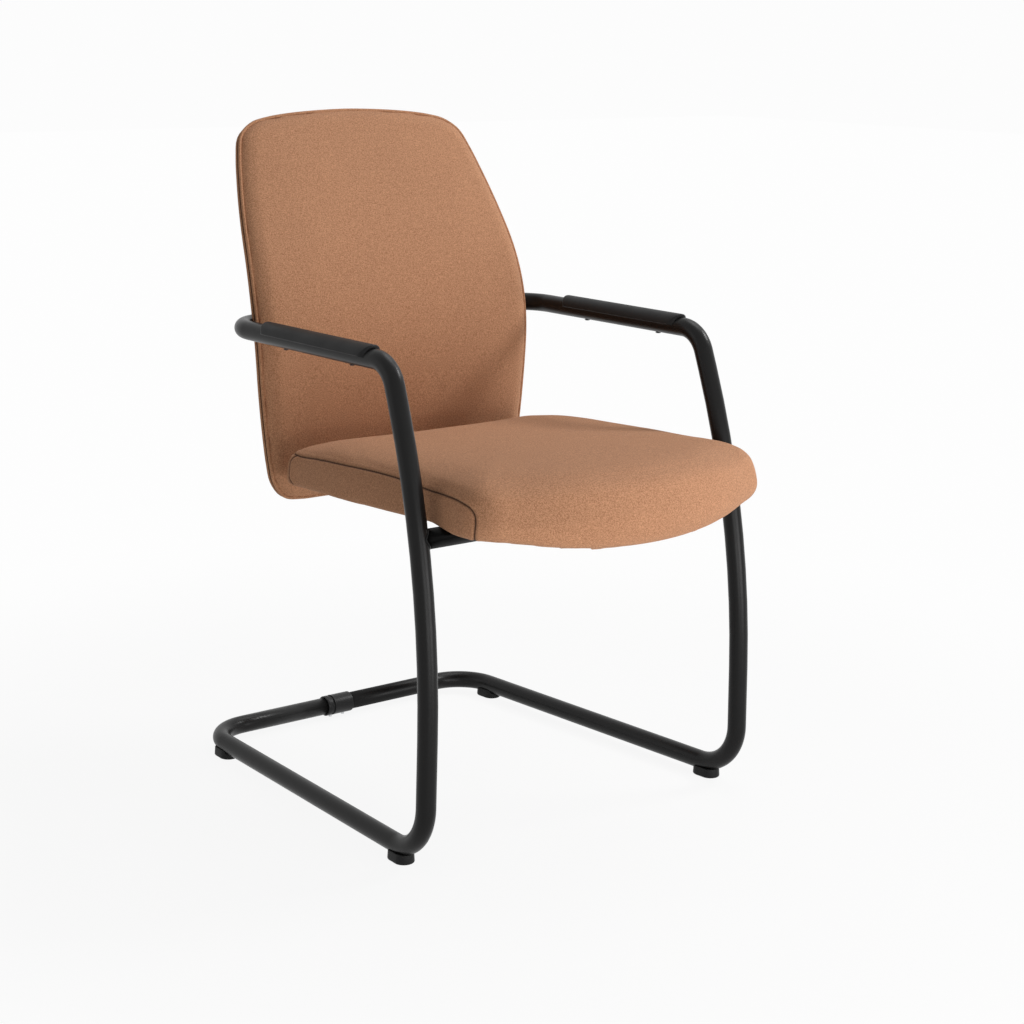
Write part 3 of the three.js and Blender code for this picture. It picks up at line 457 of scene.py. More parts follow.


# Woven cloth: threads on the three object planes, blended by where the surface faces,
# with a grain of yarn lumps, slow changes of shade, and painted shade where the seam layer marks seam
# grooves and crevices.
def buildClothGroup():
    look = weaveLook
    group, given, coords = newGroup("upholsteryWeave", ("Light Yarn", "Dark Yarn"),
                                    ("Thread Pitch", "Grain", "Shade Drift", "Painted Seam Shade"))
    sums = partial(addMath, group)
    place = coords["Object"]
    warp = addNode(group, "ShaderNodeTexNoise", Vector=place, Scale=look["warp"], Detail=2.0)
    shift = (warp.outputs["Color"], [look["warpReach"]] * 3, place)
    bent = addInOrder(group, "ShaderNodeVectorMath", shift, operation="MULTIPLY_ADD")
    turns = sums("DIVIDE", 2 * math.pi, given["Thread Pitch"])
    waves = [sums("SINE", sums("MULTIPLY", along, turns)) for along in splitVector(group, bent)]
    weights = [sums("POWER", sums("ABSOLUTE", facing), look["planeSharpness"])
               for facing in splitVector(group, coords["Normal"])]
    crossings = [sums("MULTIPLY", sums("MULTIPLY", waves[a], waves[b]), weight)
                 for weight, (a, b) in zip(weights, ((1, 2), (0, 2), (0, 1)))]
    total, weave = (sums("ADD", sums("ADD", a, b), c) for a, b, c in (weights, crossings))
    weave = sums("DIVIDE", weave, sums("MAXIMUM", total, 0.001))
    lumps, fuzz, drift = (addNoise(group, place, *look[name]) for name in ("lumps", "fuzz", "drift"))
    raised = [sums("MULTIPLY", part, look[rise])
              for part, rise in ((weave, "weaveRise"), (lumps, "lumpRise"), (fuzz, "fuzzRise"))]
    height = sums("ADD", raised[0], sums("ADD", raised[1], raised[2]))
    yarn = sums("ADD", sums("MULTIPLY", weave, look["weaveShade"]),
                sums("MULTIPLY", sums("SUBTRACT", lumps, 0.5), look["lumpShade"]))
    yarn = sums("ADD", sums("MULTIPLY", yarn, given["Grain"]), 0.5, clamp=True)
    color = addMix(group, yarn, given["Dark Yarn"], given["Light Yarn"])
    shade = sums("MULTIPLY_ADD", sums("SUBTRACT", drift, 0.5), given["Shade Drift"], 1.0)
    # Painted shade from the seam layer, standing in for the shadow in seam grooves and in the crevice
    # behind the back's piping.
    seam = group.nodes.new("ShaderNodeAttribute")
    seam.attribute_name = "seam"
    paintedSeamShade = sums("SUBTRACT", 1.0, sums("MULTIPLY", seam.outputs["Fac"], given["Painted Seam Shade"]))
    factor = sums("MULTIPLY", shade, paintedSeamShade)
    tint = addInOrder(group, "ShaderNodeCombineColor", (factor, factor, factor))
    addNode(group, "NodeGroupOutput", Color=addMix(group, 1.0, color, tint, "MULTIPLY"), Height=height,
            Roughness=addRange(group, lumps, *look["roughness"]))
    return group


skinLook = {  # ranges as from low and high, to low and high
    "pebble": (2.0, 0.5), "patches": (24.0, 3.0, 0.6), "specks": (420.0, 4.0, 0.75),
    "dustFacingUp": (0.2, 1.0, 0.25, 1.0), "dustSpecks": (0.42, 0.75, 0.0, 1.0), "dustDullness": 0.35,
}


# Sprayed or moulded skins: a fine pebble, slow gloss changes and a little dust on top.
def buildSkinGroup():
    look = skinLook
    group, given, coords = newGroup("skinGrain", ("Base", "Dust"),
                                    ("Dust Amount", "Pebble Scale", "Gloss Low", "Gloss High"))
    geometry = group.nodes.new("ShaderNodeNewGeometry")
    upward = splitVector(group, geometry.outputs["Normal"])["Z"]
    place = coords["Object"]
    pebble = addNoise(group, place, given["Pebble Scale"], *look["pebble"])
    patches = addNoise(group, place, *look["patches"])
    specks = addNoise(group, place, *look["specks"])
    settled = addMath(group, "MULTIPLY", addRange(group, upward, *look["dustFacingUp"]),
                      addRange(group, specks, *look["dustSpecks"]))
    dust = addMath(group, "MULTIPLY", settled, given["Dust Amount"], clamp=True)
    gloss = addRange(group, patches, 0.3, 0.7, given["Gloss Low"], given["Gloss High"])
    addNode(group, "NodeGroupOutput", Color=addMix(group, dust, given["Base"], given["Dust"]),
            Height=pebble, Roughness=addMath(group, "MULTIPLY_ADD", dust, look["dustDullness"], gloss))
    return group


woodLook = {
    "fibreScale": (260.0, 9.0, 260.0), "fibre": (1.0, 4.0, 0.65), "fibreShade": (0.3, 0.75, 0.0, 0.75),
    "layerShade": 0.25, "roughness": (0.3, 0.7, 0.55, 0.75),
}


# Plywood: long grain on the faces and thin veneers on the edges.
def buildWoodGroup():
    look = woodLook
    group, given, coords = newGroup("plyGrain", ("Light Wood", "Dark Wood"), ("Veneer",))
    stretch = addNode(group, "ShaderNodeMapping", Vector=coords["Object"], Scale=look["fibreScale"])
    fibre = addNoise(group, stretch.outputs[0], *look["fibre"])
    level = addMath(group, "DIVIDE", splitVector(group, coords["Object"])["Z"], given["Veneer"])
    layer = addMath(group, "GREATER_THAN", addMath(group, "PINGPONG", level, 1.0), 0.5)
    shade = addRange(group, fibre, *look["fibreShade"])
    tone = addMath(group, "MULTIPLY_ADD", layer, look["layerShade"], shade, clamp=True)
    addNode(group, "NodeGroupOutput", Color=addMix(group, tone, given["Light Wood"], given["Dark Wood"]),
            Height=fibre, Roughness=addRange(group, fibre, *look["roughness"]))
    return group


zincLook = {
    "clouds": (260.0, 3.0, 0.6), "scratches": (2600.0, 2.0, 0.5), "roughness": (0.3, 0.7, 0.28, 0.46),
}


# Zinc plated steel: faint streaks and cloudy crystals.
def buildZincGroup():
    look = zincLook
    group, given, coords = newGroup("zincPlate", ("Bright", "Dull"), ())
    clouds = addNoise(group, coords["Object"], *look["clouds"])
    addNode(group, "NodeGroupOutput", Color=addMix(group, clouds, given["Bright"], given["Dull"]),
            Height=addNoise(group, coords["Object"], *look["scratches"]),
            Roughness=addRange(group, clouds, *look["roughness"]))
    return group


clothGroup = buildClothGroup()
skinGroup = buildSkinGroup()
woodGroup = buildWoodGroup()
zincGroup = buildZincGroup()


# materials

def newMaterial(name, group, values, bump, **sockets):  # bump as strength and distance
    material = bpy.data.materials.new(name)
    tree = emptyTree(material)
    effect = tree.nodes.new("ShaderNodeGroup")
    effect.node_tree = group
    for label, value in values.items():
        effect.inputs[label].default_value = value
    height, color, roughness = (effect.outputs[label] for label in ("Height", "Color", "Roughness"))
    relief = addNode(tree, "ShaderNodeBump", Strength=bump[0], Distance=bump[1], Height=height)
    shader = addNode(tree, "ShaderNodeBsdfPrincipled", Base_Color=color, Roughness=roughness,
                     Normal=relief.outputs["Normal"], **sockets)
    addNode(tree, "ShaderNodeOutputMaterial", Surface=shader.outputs[0])
    return material


def newSkin(name, base, dust, dustAmount, pebble, gloss, bump):
    values = {"Base": base, "Dust": dust, "Dust Amount": dustAmount, "Pebble Scale": pebble,
              "Gloss Low": gloss[0], "Gloss High": gloss[1]}
    return newMaterial(name, skinGroup, values, bump, Specular_IOR_Level=0.18)


def newZinc(name, bright, dull):
    return newMaterial(name, zincGroup, {"Bright": bright, "Dull": dull}, (0.1, 0.0001), Metallic=1.0)


powderCoat = newSkin("satinPowderCoat", (0.0062, 0.0060, 0.0060, 1), (0.04, 0.038, 0.036, 1), 0.08,
                     1100.0, (0.28, 0.35), (0.12, 0.00008))
padPlastic = newSkin("softBlackPlastic", (0.0085, 0.0085, 0.0088, 1), (0.05, 0.049, 0.047, 1), 0.10,
                     1500.0, (0.46, 0.56), (0.3, 0.0001))
collarPlastic = newSkin("satinBlackPlastic", (0.008, 0.008, 0.0083, 1), (0.05, 0.048, 0.045, 1), 0.08,
                        1500.0, (0.36, 0.44), (0.2, 0.00008))
tanCloth = newMaterial(
    "tanUpholsteryCloth", clothGroup,
    {"Thread Pitch": 0.0019, "Light Yarn": (0.660, 0.345, 0.194, 1), "Dark Yarn": (0.372, 0.167, 0.082, 1),
     "Grain": 2.0, "Shade Drift": 0.10, "Painted Seam Shade": 0.92},
    (0.75, 0.0005), Specular_IOR_Level=0.26, Sheen_Weight=0.12, Sheen_Roughness=0.45,
    Sheen_Tint=(0.92, 0.82, 0.70, 1))
dustFelt = newMaterial(
    "blackDustFelt", clothGroup,
    {"Thread Pitch": 0.0012, "Light Yarn": (0.028, 0.028, 0.029, 1), "Dark Yarn": (0.008, 0.008, 0.0085, 1),
     "Grain": 0.7, "Shade Drift": 0.15, "Painted Seam Shade": 0.3},
    (0.6, 0.0005), Specular_IOR_Level=0.1)
bareWood = newMaterial(
    "mouldedPlywood", woodGroup,
    {"Light Wood": (0.62, 0.44, 0.26, 1), "Dark Wood": (0.38, 0.23, 0.12, 1), "Veneer": 0.0015},
    (0.3, 0.0002), Specular_IOR_Level=0.3)
zincSteel = newZinc("zincPlatedSteel", (0.66, 0.67, 0.68, 1), (0.45, 0.46, 0.47, 1))
darkZinc = newZinc("blackZincSteel", (0.05, 0.05, 0.052, 1), (0.03, 0.03, 0.031, 1))
print("materials ready")


# room, light and camera

room = {
    "floorSize": 30.0, "floorColor": (0.90, 0.898, 0.893, 1), "glowColor": (0.985, 0.985, 0.985, 1),
    "clearRadius": (0.60, 1.40),  # the floor's own shading, under a constant share of white, fades out here
    "glowShare": 0.92, "worldFill": 0.20, "seenWhite": (0.975, 0.975, 0.975, 1), "target": (0.0, 0.0, 0.45),
}


lamps = [  # name, place, size in m, power in W
    ("keyLamp", (2.45, -0.89, 2.64), 0.8, 48.0),
    ("topLamp", (1.35, 0.49, 3.53), 1.8, 32.0),
    ("leftLamp", (-3.09, 1.12, 1.33), 1.8, 6.5),
    ("lowFrontLamp", (0.5, -1.7, 0.28), 0.8, 10.5),
    ("lowSideLamp", (-0.5, -1.8, 0.28), 0.8, 7.5),
]


def addLamp(name, place, size, power):
    lamp = bpy.data.lights.new(name, "AREA")
    lamp.shape = "SQUARE"
    lamp.size = size
    lamp.energy = power
    holder = bpy.data.objects.new(name, lamp)
    holder.location = place
    direction = Vector(room["target"]) - Vector(place)
    holder.rotation_euler = direction.to_track_quat("-Z", "Y").to_euler()
    scene.collection.objects.link(holder)


def seenDirectly(tree):  # camera, glossy and transmission rays see the white room
    rays = tree.nodes.new("ShaderNodeLightPath").outputs
    seen = addMath(tree, "MAXIMUM", rays["Is Camera Ray"], rays["Is Glossy Ray"])
    return addMath(tree, "MAXIMUM", seen, rays["Is Transmission Ray"])


def blendShaders(tree, output, factor, first, second):
    blend = addInOrder(tree, "ShaderNodeMixShader", (factor, first.outputs[0], second.outputs[0]))
    addNode(tree, output, Surface=blend)


def buildRoom():
    for lamp in lamps:
        addLamp(*lamp)
    scene.world = bpy.data.worlds.new("studio")
    tree = emptyTree(scene.world)
    plain = addNode(tree, "ShaderNodeBackground", Color=(1, 1, 1, 1), Strength=room["worldFill"])
    white = addNode(tree, "ShaderNodeBackground", Color=room["seenWhite"], Strength=1.0)
    blendShaders(tree, "ShaderNodeOutputWorld", seenDirectly(tree), plain, white)


def buildFloor():
    half = room["floorSize"] / 2
    corners = [(-half, -half, 0), (half, -half, 0), (half, half, 0), (-half, half, 0)]
    material = bpy.data.materials.new("paleFloor")
    tree = emptyTree(material)
    matt = addNode(tree, "ShaderNodeBsdfDiffuse", Color=room["floorColor"])
    glow = addNode(tree, "ShaderNodeEmission", Color=room["glowColor"])
    place = tree.nodes.new("ShaderNodeTexCoord")
    length = addNode(tree, "ShaderNodeVectorMath", Vector=place.outputs["Object"])
    length.operation = "LENGTH"
    away = addRange(tree, length.outputs["Value"], *room["clearRadius"], room["glowShare"], 1.0)
    away.node.interpolation_type = "SMOOTHSTEP"
    fade = addMath(tree, "MULTIPLY", away, seenDirectly(tree))
    blendShaders(tree, "ShaderNodeOutputMaterial", fade, matt, glow)
    makeObject("studioFloor", corners, [(0, 1, 2, 3)], material, smooth=False)


viewpoint = {
    "place": (-1.7012, -2.1840, 1.0147),
    "right": (0.78241788, -0.6225986, 0.01390115),
    "up": (0.1298111, 0.18488368, 0.97414943),
    "forward": (0.60907417, 0.7603874, -0.22547651),
    "lens": 75.065, "sensor": 36.0, "clip": (0.05, 100.0),
}


def buildCamera():
    lens = bpy.data.cameras.new("camera")
    lens.sensor_width = viewpoint["sensor"]
    lens.sensor_fit = "HORIZONTAL"
    lens.lens = viewpoint["lens"]
    lens.clip_start, lens.clip_end = viewpoint["clip"]
    holder = bpy.data.objects.new("camera", lens)
    right, up, forward = (Vector(viewpoint[way]) for way in ("right", "up", "forward"))
    matrix = Matrix((right, up, -forward)).transposed().to_4x4()
    matrix.translation = Vector(viewpoint["place"])
    holder.matrix_world = matrix
    scene.collection.objects.link(holder)
    scene.camera = holder


scene.view_settings.view_transform = "Standard"
buildRoom()
buildFloor()
buildCamera()
print("room and camera ready")


# frame tube

tube = {
    "radius": 0.0125, "height": 0.019, "sides": 40, "bendStep": 2.5,
    "runnerLength": 0.5655, "frontHalfWidth": 0.262, "rearHalfWidth": 0.230,
    "rearBend": 0.060, "frontBend": 0.066,
    "legStraight": 0.150, "legBend": 1.135, "legLean": 20.4,
    "armHeight": 0.615, "armHalfWidth": 0.2506, "armBend": 0.042,
    "barDepth": 0.45799, "barBend": 0.055,
    "jointGap": 0.0006, "jointOffset": 0.0108,
}
leanAngle = math.radians(tube["legLean"])
legBendHeight = tube["height"] + tube["legStraight"] + tube["legBend"] * math.tan(leanAngle / 2)
armCornerDepth = (tube["armHeight"] - legBendHeight) * math.tan(leanAngle)
runnerTurn = math.atan2(tube["frontHalfWidth"] - tube["rearHalfWidth"], tube["runnerLength"])


def legHalfWidth(height):
    share = (height - tube["height"]) / (tube["armHeight"] - tube["height"])
    return mix(tube["frontHalfWidth"], tube["armHalfWidth"], share)


def legDepth(height):
    rise = max(0.0, height - tube["height"] - tube["legStraight"])
    return tube["legBend"] - math.sqrt(tube["legBend"] ** 2 - rise ** 2)


def runnerHalfWidth(depth):
    return mix(tube["frontHalfWidth"], tube["rearHalfWidth"], depth / tube["runnerLength"])


def frameCorners(side):
    t = tube
    low, arm, length = t["height"], t["armHeight"], t["runnerLength"]
    return [
        (at(side * t["jointGap"] / 2 - t["jointOffset"], length, low), 0),
        (at(side * t["rearHalfWidth"], length, low), t["rearBend"]),
        (at(side * t["frontHalfWidth"], 0, low), t["frontBend"]),
        (at(side * legHalfWidth(legBendHeight), 0, legBendHeight), t["legBend"]),
        (at(side * t["armHalfWidth"], armCornerDepth, arm), t["armBend"]),
        (at(side * t["armHalfWidth"], t["barDepth"], arm), t["barBend"]),
    ]


frameStations = bentLine(frameCorners(1) + frameCorners(-1)[::-1], tube["bendStep"])
frameTube = sweptTube("frameTube", frameStations, tube["radius"], tube["sides"], powderCoat)
settle(frameTube, "powder_coat", "frame_tube")
print("frame tube", len(frameTube.data.polygons), "faces")


# floor joint

collar = {
    "length": 0.044, "radius": 0.0147, "bore": 0.0128, "sides": 72, "bevel": 0.00012,
    "round": 0.0007, "roundShares": ((0, 1.4), (0.3, 0.5), (1, 0)),
    "grooveStart": 0.008, "grooveWidth": 0.0035, "grooveDepth": 0.0013, "grooveSlope": 0.0002,
    "grooveRounds": (0.4, 0.2), "lip": 0.00025, "lipEnds": (0.0004, 0.0012, 0.0018),
}


def buildCollar():
    c = collar
    r, e, slope, low = c["radius"], c["round"], c["grooveSlope"], c["radius"] - c["grooveDepth"]
    g, far = c["grooveStart"], c["grooveStart"] + c["grooveWidth"]
    near, over = (share * e for share in c["grooveRounds"])
    rise, fall, flat = (far + step for step in c["lipEnds"])
    end = [(0, c["bore"])] + [(along * e, r - inward * e) for along, inward in c["roundShares"]]
    profile = end + [
        (g - near, r), (g, r - near), (g + slope, low), (far - slope, low), (far, r - over),
        (rise, r + c["lip"]), (fall, r + c["lip"]), (flat, r),
    ] + [(c["length"] - along, radius) for along, radius in reversed(end)]
    profile = [(along - c["length"] / 2, radius) for along, radius in profile]
    middle = at(-tube["jointOffset"], tube["runnerLength"], tube["height"])
    piece = turnedPiece("floorCollar", profile, middle, Vector((1, 0, 0)), c["sides"], collarPlastic)
    bevelEdges(piece, c["bevel"], 30)
    settle(piece, "black_plastic", "floor_joint_sleeve")


buildCollar()


# glides

glide = {
    "length": 0.040, "width": 0.027, "height": 0.013, "draft": 0.0006, "soleRound": 0.0022,
    "topRound": 0.0014, "frontDepth": 0.054, "rearDepth": 0.510, "clearance": 0.0002,
    "screwRecess": 0.0032, "screwRadius": 0.0043, "screwCentre": 0.0005, "recessBelow": 0.002,
    "sides": 72, "soleSteps": 6, "topSteps": 5, "cutterSides": 48, "recessSides": 32,
}


def stadium(length, width, count):
    radius, straight = width / 2, (length - width) / 2
    turns = ((math.cos(a), math.sin(a)) for a in (2 * math.pi * k / count for k in range(count)))
    return [Vector((radius * x, math.copysign(straight, y) + radius * y)) for x, y in turns]


def buildGlides():
    g = glide
    outline = stadium(g["length"], g["width"], g["sides"])
    rows = [(g["soleRound"] * (1 - sine), g["soleRound"] * (1 - cosine))
            for sine, cosine in quarterTurn(g["soleSteps"])]
    rows.append((g["draft"] / 2, g["height"] / 2))
    rows += [(g["draft"] + g["topRound"] * (1 - cosine), g["height"] - g["topRound"] * (1 - sine))
             for sine, cosine in quarterTurn(g["topSteps"])]
    recessProfile = [(-g["recessBelow"], g["screwCentre"]), (-g["recessBelow"], g["screwRadius"]),
                     (g["screwRecess"], g["screwRadius"]), (g["screwRecess"], g["screwCentre"])]
    bore = tube["radius"] + g["clearance"]
    cutter = sweptTube("glideCutter", frameStations, bore, g["cutterSides"], None)
    for end, depth in (("front", g["frontDepth"]), ("rear", g["rearDepth"])):
        for side, sense in bothSides:
            place = at(sense * runnerHalfWidth(depth), depth, 0)
            turn = Matrix.Rotation(sense * runnerTurn, 3, "Z")
            rings = [[place.copy()]]
            rings += [[place + turn @ Vector((p.x, p.y, height)) for p in insetOutline(outline, inset)]
                      for inset, height in rows]
            rings.append([place + Vector((0, 0, g["height"]))])
            piece = skinRings(f"glideFoot_{end}_{side}", rings, padPlastic)
            recess = turnedPiece("recess", recessProfile, place, Vector((0, 0, 1)), g["recessSides"], None)
            cutWith(piece, cutter)
            cutWith(piece, recess)
            bpy.data.objects.remove(recess)
            settle(piece, "black_plastic", f"glide_{end}_{side}")
    bpy.data.objects.remove(cutter)


buildGlides()
print("collar and glides ready")


# arm pads

pad = {
    "thickness": 0.004, "front": 0.1239, "rear": 0.36199, "wrap": 82.0, "gap": 0.0003,
    "endRadius": 0.015, "edgeRound": 0.0016, "lipRound": 0.0011, "bevel": 0.0003,
    "steps": 44, "endSteps": 6, "spans": 24,
}


# The pad's skin from one lip to the other and its bore back again, as angle and radius.
def padSection(along, length):
    p = pad
    bore = tube["radius"] + p["gap"]
    wrap = math.radians(p["wrap"])
    skin = bore + p["thickness"] - roundDrop(min(along, length - along), p["edgeRound"])
    shares = [k / p["steps"] for k in range(p["steps"] + 1)]
    drops = [roundDrop(min(t, 1 - t) * 2 * wrap * skin, p["lipRound"]) for t in shares]
    outer = [(mix(-wrap, wrap, t), skin - drop) for t, drop in zip(shares, drops)]
    return outer + [(mix(wrap, -wrap, t), bore) for t in shares]


def buildPad(side, sense):
    p = pad
    length = p["rear"] - p["front"]
    halfWidth = tube["radius"] + p["gap"] + p["thickness"]
    stops = [p["edgeRound"] * (1 - cosine) for _, cosine in quarterTurn(p["endSteps"])]
    middle = [mix(stops[-1], length - stops[-1], k / p["spans"]) for k in range(1, p["spans"])]
    rings = []
    for along in stops + middle + [length - s for s in reversed(stops)]:
        ring = []
        for angle, radius in padSection(along, length):
            across = math.sin(angle) * radius
            back = roundDrop(halfWidth - abs(across), p["endRadius"])  # the corners seen from above
            depth = p["front"] + back + along * (1 - 2 * back / length)
            height = tube["armHeight"] + math.cos(angle) * radius
            ring.append(at(sense * tube["armHalfWidth"] + across, depth, height))
        rings.append(ring)
    count = len(rings[0])
    ends = [(start + i, start + i + 1, start + count - 2 - i, start + count - 1 - i)
            for start in (0, (len(rings) - 1) * count) for i in range(p["steps"])]
    piece = skinRings(f"armPad_{side}", rings, padPlastic, ends)
    bevelEdges(piece, p["bevel"], 40)
    settle(piece, "black_plastic", f"arm_pad_{side}")


for side, sense in bothSides:
    buildPad(side, sense)
print("arm pads ready")


# cross tube

crossTube = {
    "height": 0.411, "sides": 64, "clearance": 0.0002, "capHalf": 0.2,
    "weldRadius": 0.0010, "weldSides": 10, "weldSpans": 90,
    "weldRipples": ((0.10, 1.35), (0.06, 0.37)),  # size and turn per station
}
crossDepth = legDepth(crossTube["height"])


def buildCrossTube():
    t = crossTube
    middle = at(0, crossDepth, t["height"])
    radius = tube["radius"]
    lean = math.asin((t["height"] - tube["height"] - tube["legStraight"]) / tube["legBend"])
    rings = []
    for sense in (-1, 1):  # each end is cut to sit on its leg
        ring = []
        for k in range(t["sides"]):
            a = 2 * math.pi * k / t["sides"]
            across = radius * math.cos(a + lean)
            reach = math.sqrt(max(0.0, (radius + t["clearance"]) ** 2 - across ** 2))
            height = radius * math.sin(a)
            x = legHalfWidth(t["height"] + height) - reach
            ring.append(middle + Vector((sense * x, radius * math.cos(a), height)))
        rings.append(ring)
    near, far = ([middle + Vector((x, 0, 0))] for x in (-t["capHalf"], t["capHalf"]))
    piece = skinRings("crossTube", [near] + rings + [far], powderCoat)
    settle(piece, "powder_coat", "seat_cross_tube")
    for side, ring in zip(("right", "left"), rings):
        buildWeld(f"crossWeld_{side}", ring)


def buildWeld(name, ring):  # a rippled bead round an end of the tube
    t = crossTube
    line = evenlySpaced(ring + [ring[0]], t["weldSpans"])
    stations = []
    for i, point in enumerate(line):
        before, after = line[max(i - 1, 0)], line[min(i + 1, len(line) - 1)]
        stations.append((point, (after - before).normalized()))

    def swelling(i):
        return 1 + sum(size * math.sin(i * turn) for size, turn in t["weldRipples"])

    settle(sweptTube(name, stations, t["weldRadius"], t["weldSides"], powderCoat, swelling), "powder_coat")


buildCrossTube()
print("cross tube ready")


# seat

seat = {
    "tilt": 2.5, "hem": 0.0035, "thickness": 0.060, "crown": 0.0045,
    "frontReach": 0.086, "bow": 0.0645, "rearReach": 0.3697,
    "frontHalf": 0.2345, "midHalf": 0.234, "rearHalf": 0.222,
    "frontCorner": 0.010, "rearCorner": 0.040, "midReach": 0.110, "edgeRadius": 0.020, "noseRadius": 0.040,
    "noseDrop": 0.010, "bowDrop": 0.024, "noseLength": 0.065, "noseFade": 0.8,
    "rearDrop": 0.0185, "rearDropLength": 0.130, "rearEven": 0.45, "rearEvenRange": (0.2, 0.95),
    "pocketInset": 0.0236, "pocketHeight": 0.0073, "pocketLedge": 0.012,
    "lipInset": 0.0015, "lipRise": 0.0004, "holdRange": (0.004, 0.012), "around": 4, "across": 4,
}
seatOrigin = at(0, crossDepth, crossTube["height"] + tube["radius"])
seatTurn = Matrix.Rotation(-math.radians(seat["tilt"]), 3, "X")


def fromSeat(x, y, z):
    return seatOrigin + seatTurn @ Vector((x, y, z))


def toSeat(point):
    return seatTurn.transposed() @ (point - seatOrigin)


def quadratic(a, b, c, count=200):
    return [a.lerp(b, t).lerp(b.lerp(c, t), t) for t in (i / count for i in range(count + 1))]


def seatOutline(count=24):
    s = seat
    front, half, rear, back = -s["frontReach"], s["frontHalf"], s["rearHalf"], s["rearReach"]
    slope = 2 * s["bow"] / half
    run = s["frontCorner"] / math.hypot(1, slope)
    tip = front - s["bow"]
    path = [(0, tip), ((half - run) / 2, tip), (half - run, front - run * slope), (half, front),
            (half, front + s["frontCorner"]), (half, s["midReach"] / 2), (s["midHalf"], s["midReach"]),
            (s["midHalf"], s["midReach"] * 2), (rear, back - s["rearCorner"]), (rear, back),
            (rear - s["rearCorner"], back)]
    path = [Vector(p) for p in path]
    points = [p for k in range(0, len(path) - 2, 2) for p in quadratic(*path[k:k + 3])]
    line = evenlySpaced(points + [Vector((0, back))], count)
    return line + [Vector((-p.x, p.y)) for p in line[1:-1]][::-1]


seatPlan = seatOutline()
seatEdgeShares = [
    (0.6, 0, 0.4), (0.2, 0.017, 0.25), (0.025, 0.15, 0.07), (0, 0.35, 0), (0.025, 0.58, 0.05),
    (0.15, 0.75, 0.15), (0.45, 0.88, 0.35), (1, 0.965, 0.62), (1.9, 1, 0.95),
]
seatTopShares = [(0.74, 0.45), (0.48, 0.8), (0.22, 0.97)]


def noseDrop(x, y, heightShare):
    s = seat
    weight = max(0.0, 1 - heightShare / s["noseFade"])
    fromFront = ease(-y, -s["noseLength"] / 3, s["noseLength"] * 2 / 3)
    across = max(0.0, 1 - (x / s["frontHalf"]) ** 2)
    ahead = ease(-y, s["frontReach"] / 2, s["frontReach"] + s["bow"] / 2)
    return weight * (s["noseDrop"] * fromFront + s["bowDrop"] * across * ahead)


def topDrop(x, y):
    s = seat
    rear = s["rearDrop"] * ease(y, s["rearReach"] - s["rearDropLength"], s["rearReach"])
    return rear * (1 - s["rearEven"] * ease(abs(x) / s["rearHalf"], *s["rearEvenRange"]))


def seatRings(shrink):
    s = seat
    middle = Vector((0, (s["rearReach"] - s["frontReach"]) / 2))
    top = s["hem"] + s["thickness"]
    pocket = [(s["pocketInset"] + s["pocketLedge"], s["pocketHeight"], 0),
              (s["pocketInset"], s["pocketHeight"], 0),
              (s["pocketInset"] - s["lipInset"], s["hem"] + s["lipRise"], 1)]
    rings = [[Vector((*middle, s["pocketHeight"]))]]
    for inset, height, noseShare in pocket:
        rings.append([Vector((p.x, p.y, height - noseShare * noseDrop(p.x, p.y, 0)))
                      for p in insetOutline(seatPlan, inset)])
    for insetShare, heightShare, noseShare in seatEdgeShares:
        edge = insetOutline(seatPlan, lambda inward: (
            insetShare * s["edgeRadius"] + noseShare * s["noseRadius"] * max(0.0, inward.y) + shrink))
        rings.append([Vector((p.x, p.y, s["hem"] + (s["thickness"] - topDrop(p.x, p.y)) * heightShare
                              - noseDrop(p.x, p.y, heightShare) - shrink * ease(heightShare, 0.3, 0.9)))
                      for p in edge])
    for outShare, crownShare in seatTopShares:
        inner = [middle.lerp(p, outShare) for p in edge]
        rings.append([Vector((p.x, p.y, top + s["crown"] * crownShare - topDrop(p.x, p.y) - shrink))
                      for p in inner])
    return rings + [[Vector((*middle, top + s["crown"] - shrink))]]


# The side panel's seam on the sitter's right, from the front hem up and back to the rear middle.
seatSeam = [
    (-0.219, -0.0625, -0.0075), (-0.2240, -0.0691, -0.0020), (-0.2259, -0.0730, 0.0076),
    (-0.2260, -0.0739, 0.0172), (-0.2264, -0.0716, 0.0260), (-0.2276, -0.0645, 0.0324),
    (-0.2286, -0.0536, 0.0362), (-0.2278, -0.0352, 0.0392), (-0.2276, -0.0076, 0.0419),
    (-0.2279, 0.0221, 0.0440), (-0.2272, 0.0795, 0.0502), (-0.2274, 0.1135, 0.0522),
    (-0.2269, 0.1484, 0.0531), (-0.2260, 0.1873, 0.0529), (-0.2250, 0.2263, 0.0517),
    (-0.2208, 0.2749, 0.0500), (-0.2165, 0.3150, 0.0485), (-0.2090, 0.3420, 0.0480),
    (-0.1950, 0.3550, 0.0478), (-0.1600, 0.3610, 0.0465), (-0.0800, 0.3610, 0.0430), (0, 0.3610, 0.0420),
]
# The side panel's rear end, from that seam down to the hem: a seam groove whose line of painted shade
# stands in for the shadow in the gap between the seat and the back.
seatEndSeamAndShadow = [
    (-0.2145, 0.3290, 0.0482), (-0.2170, 0.3360, 0.0440), (-0.2190, 0.3395, 0.0370),
    (-0.2200, 0.3400, 0.0250), (-0.2195, 0.3380, 0.0140), (-0.2175, 0.3300, 0.0060),
]


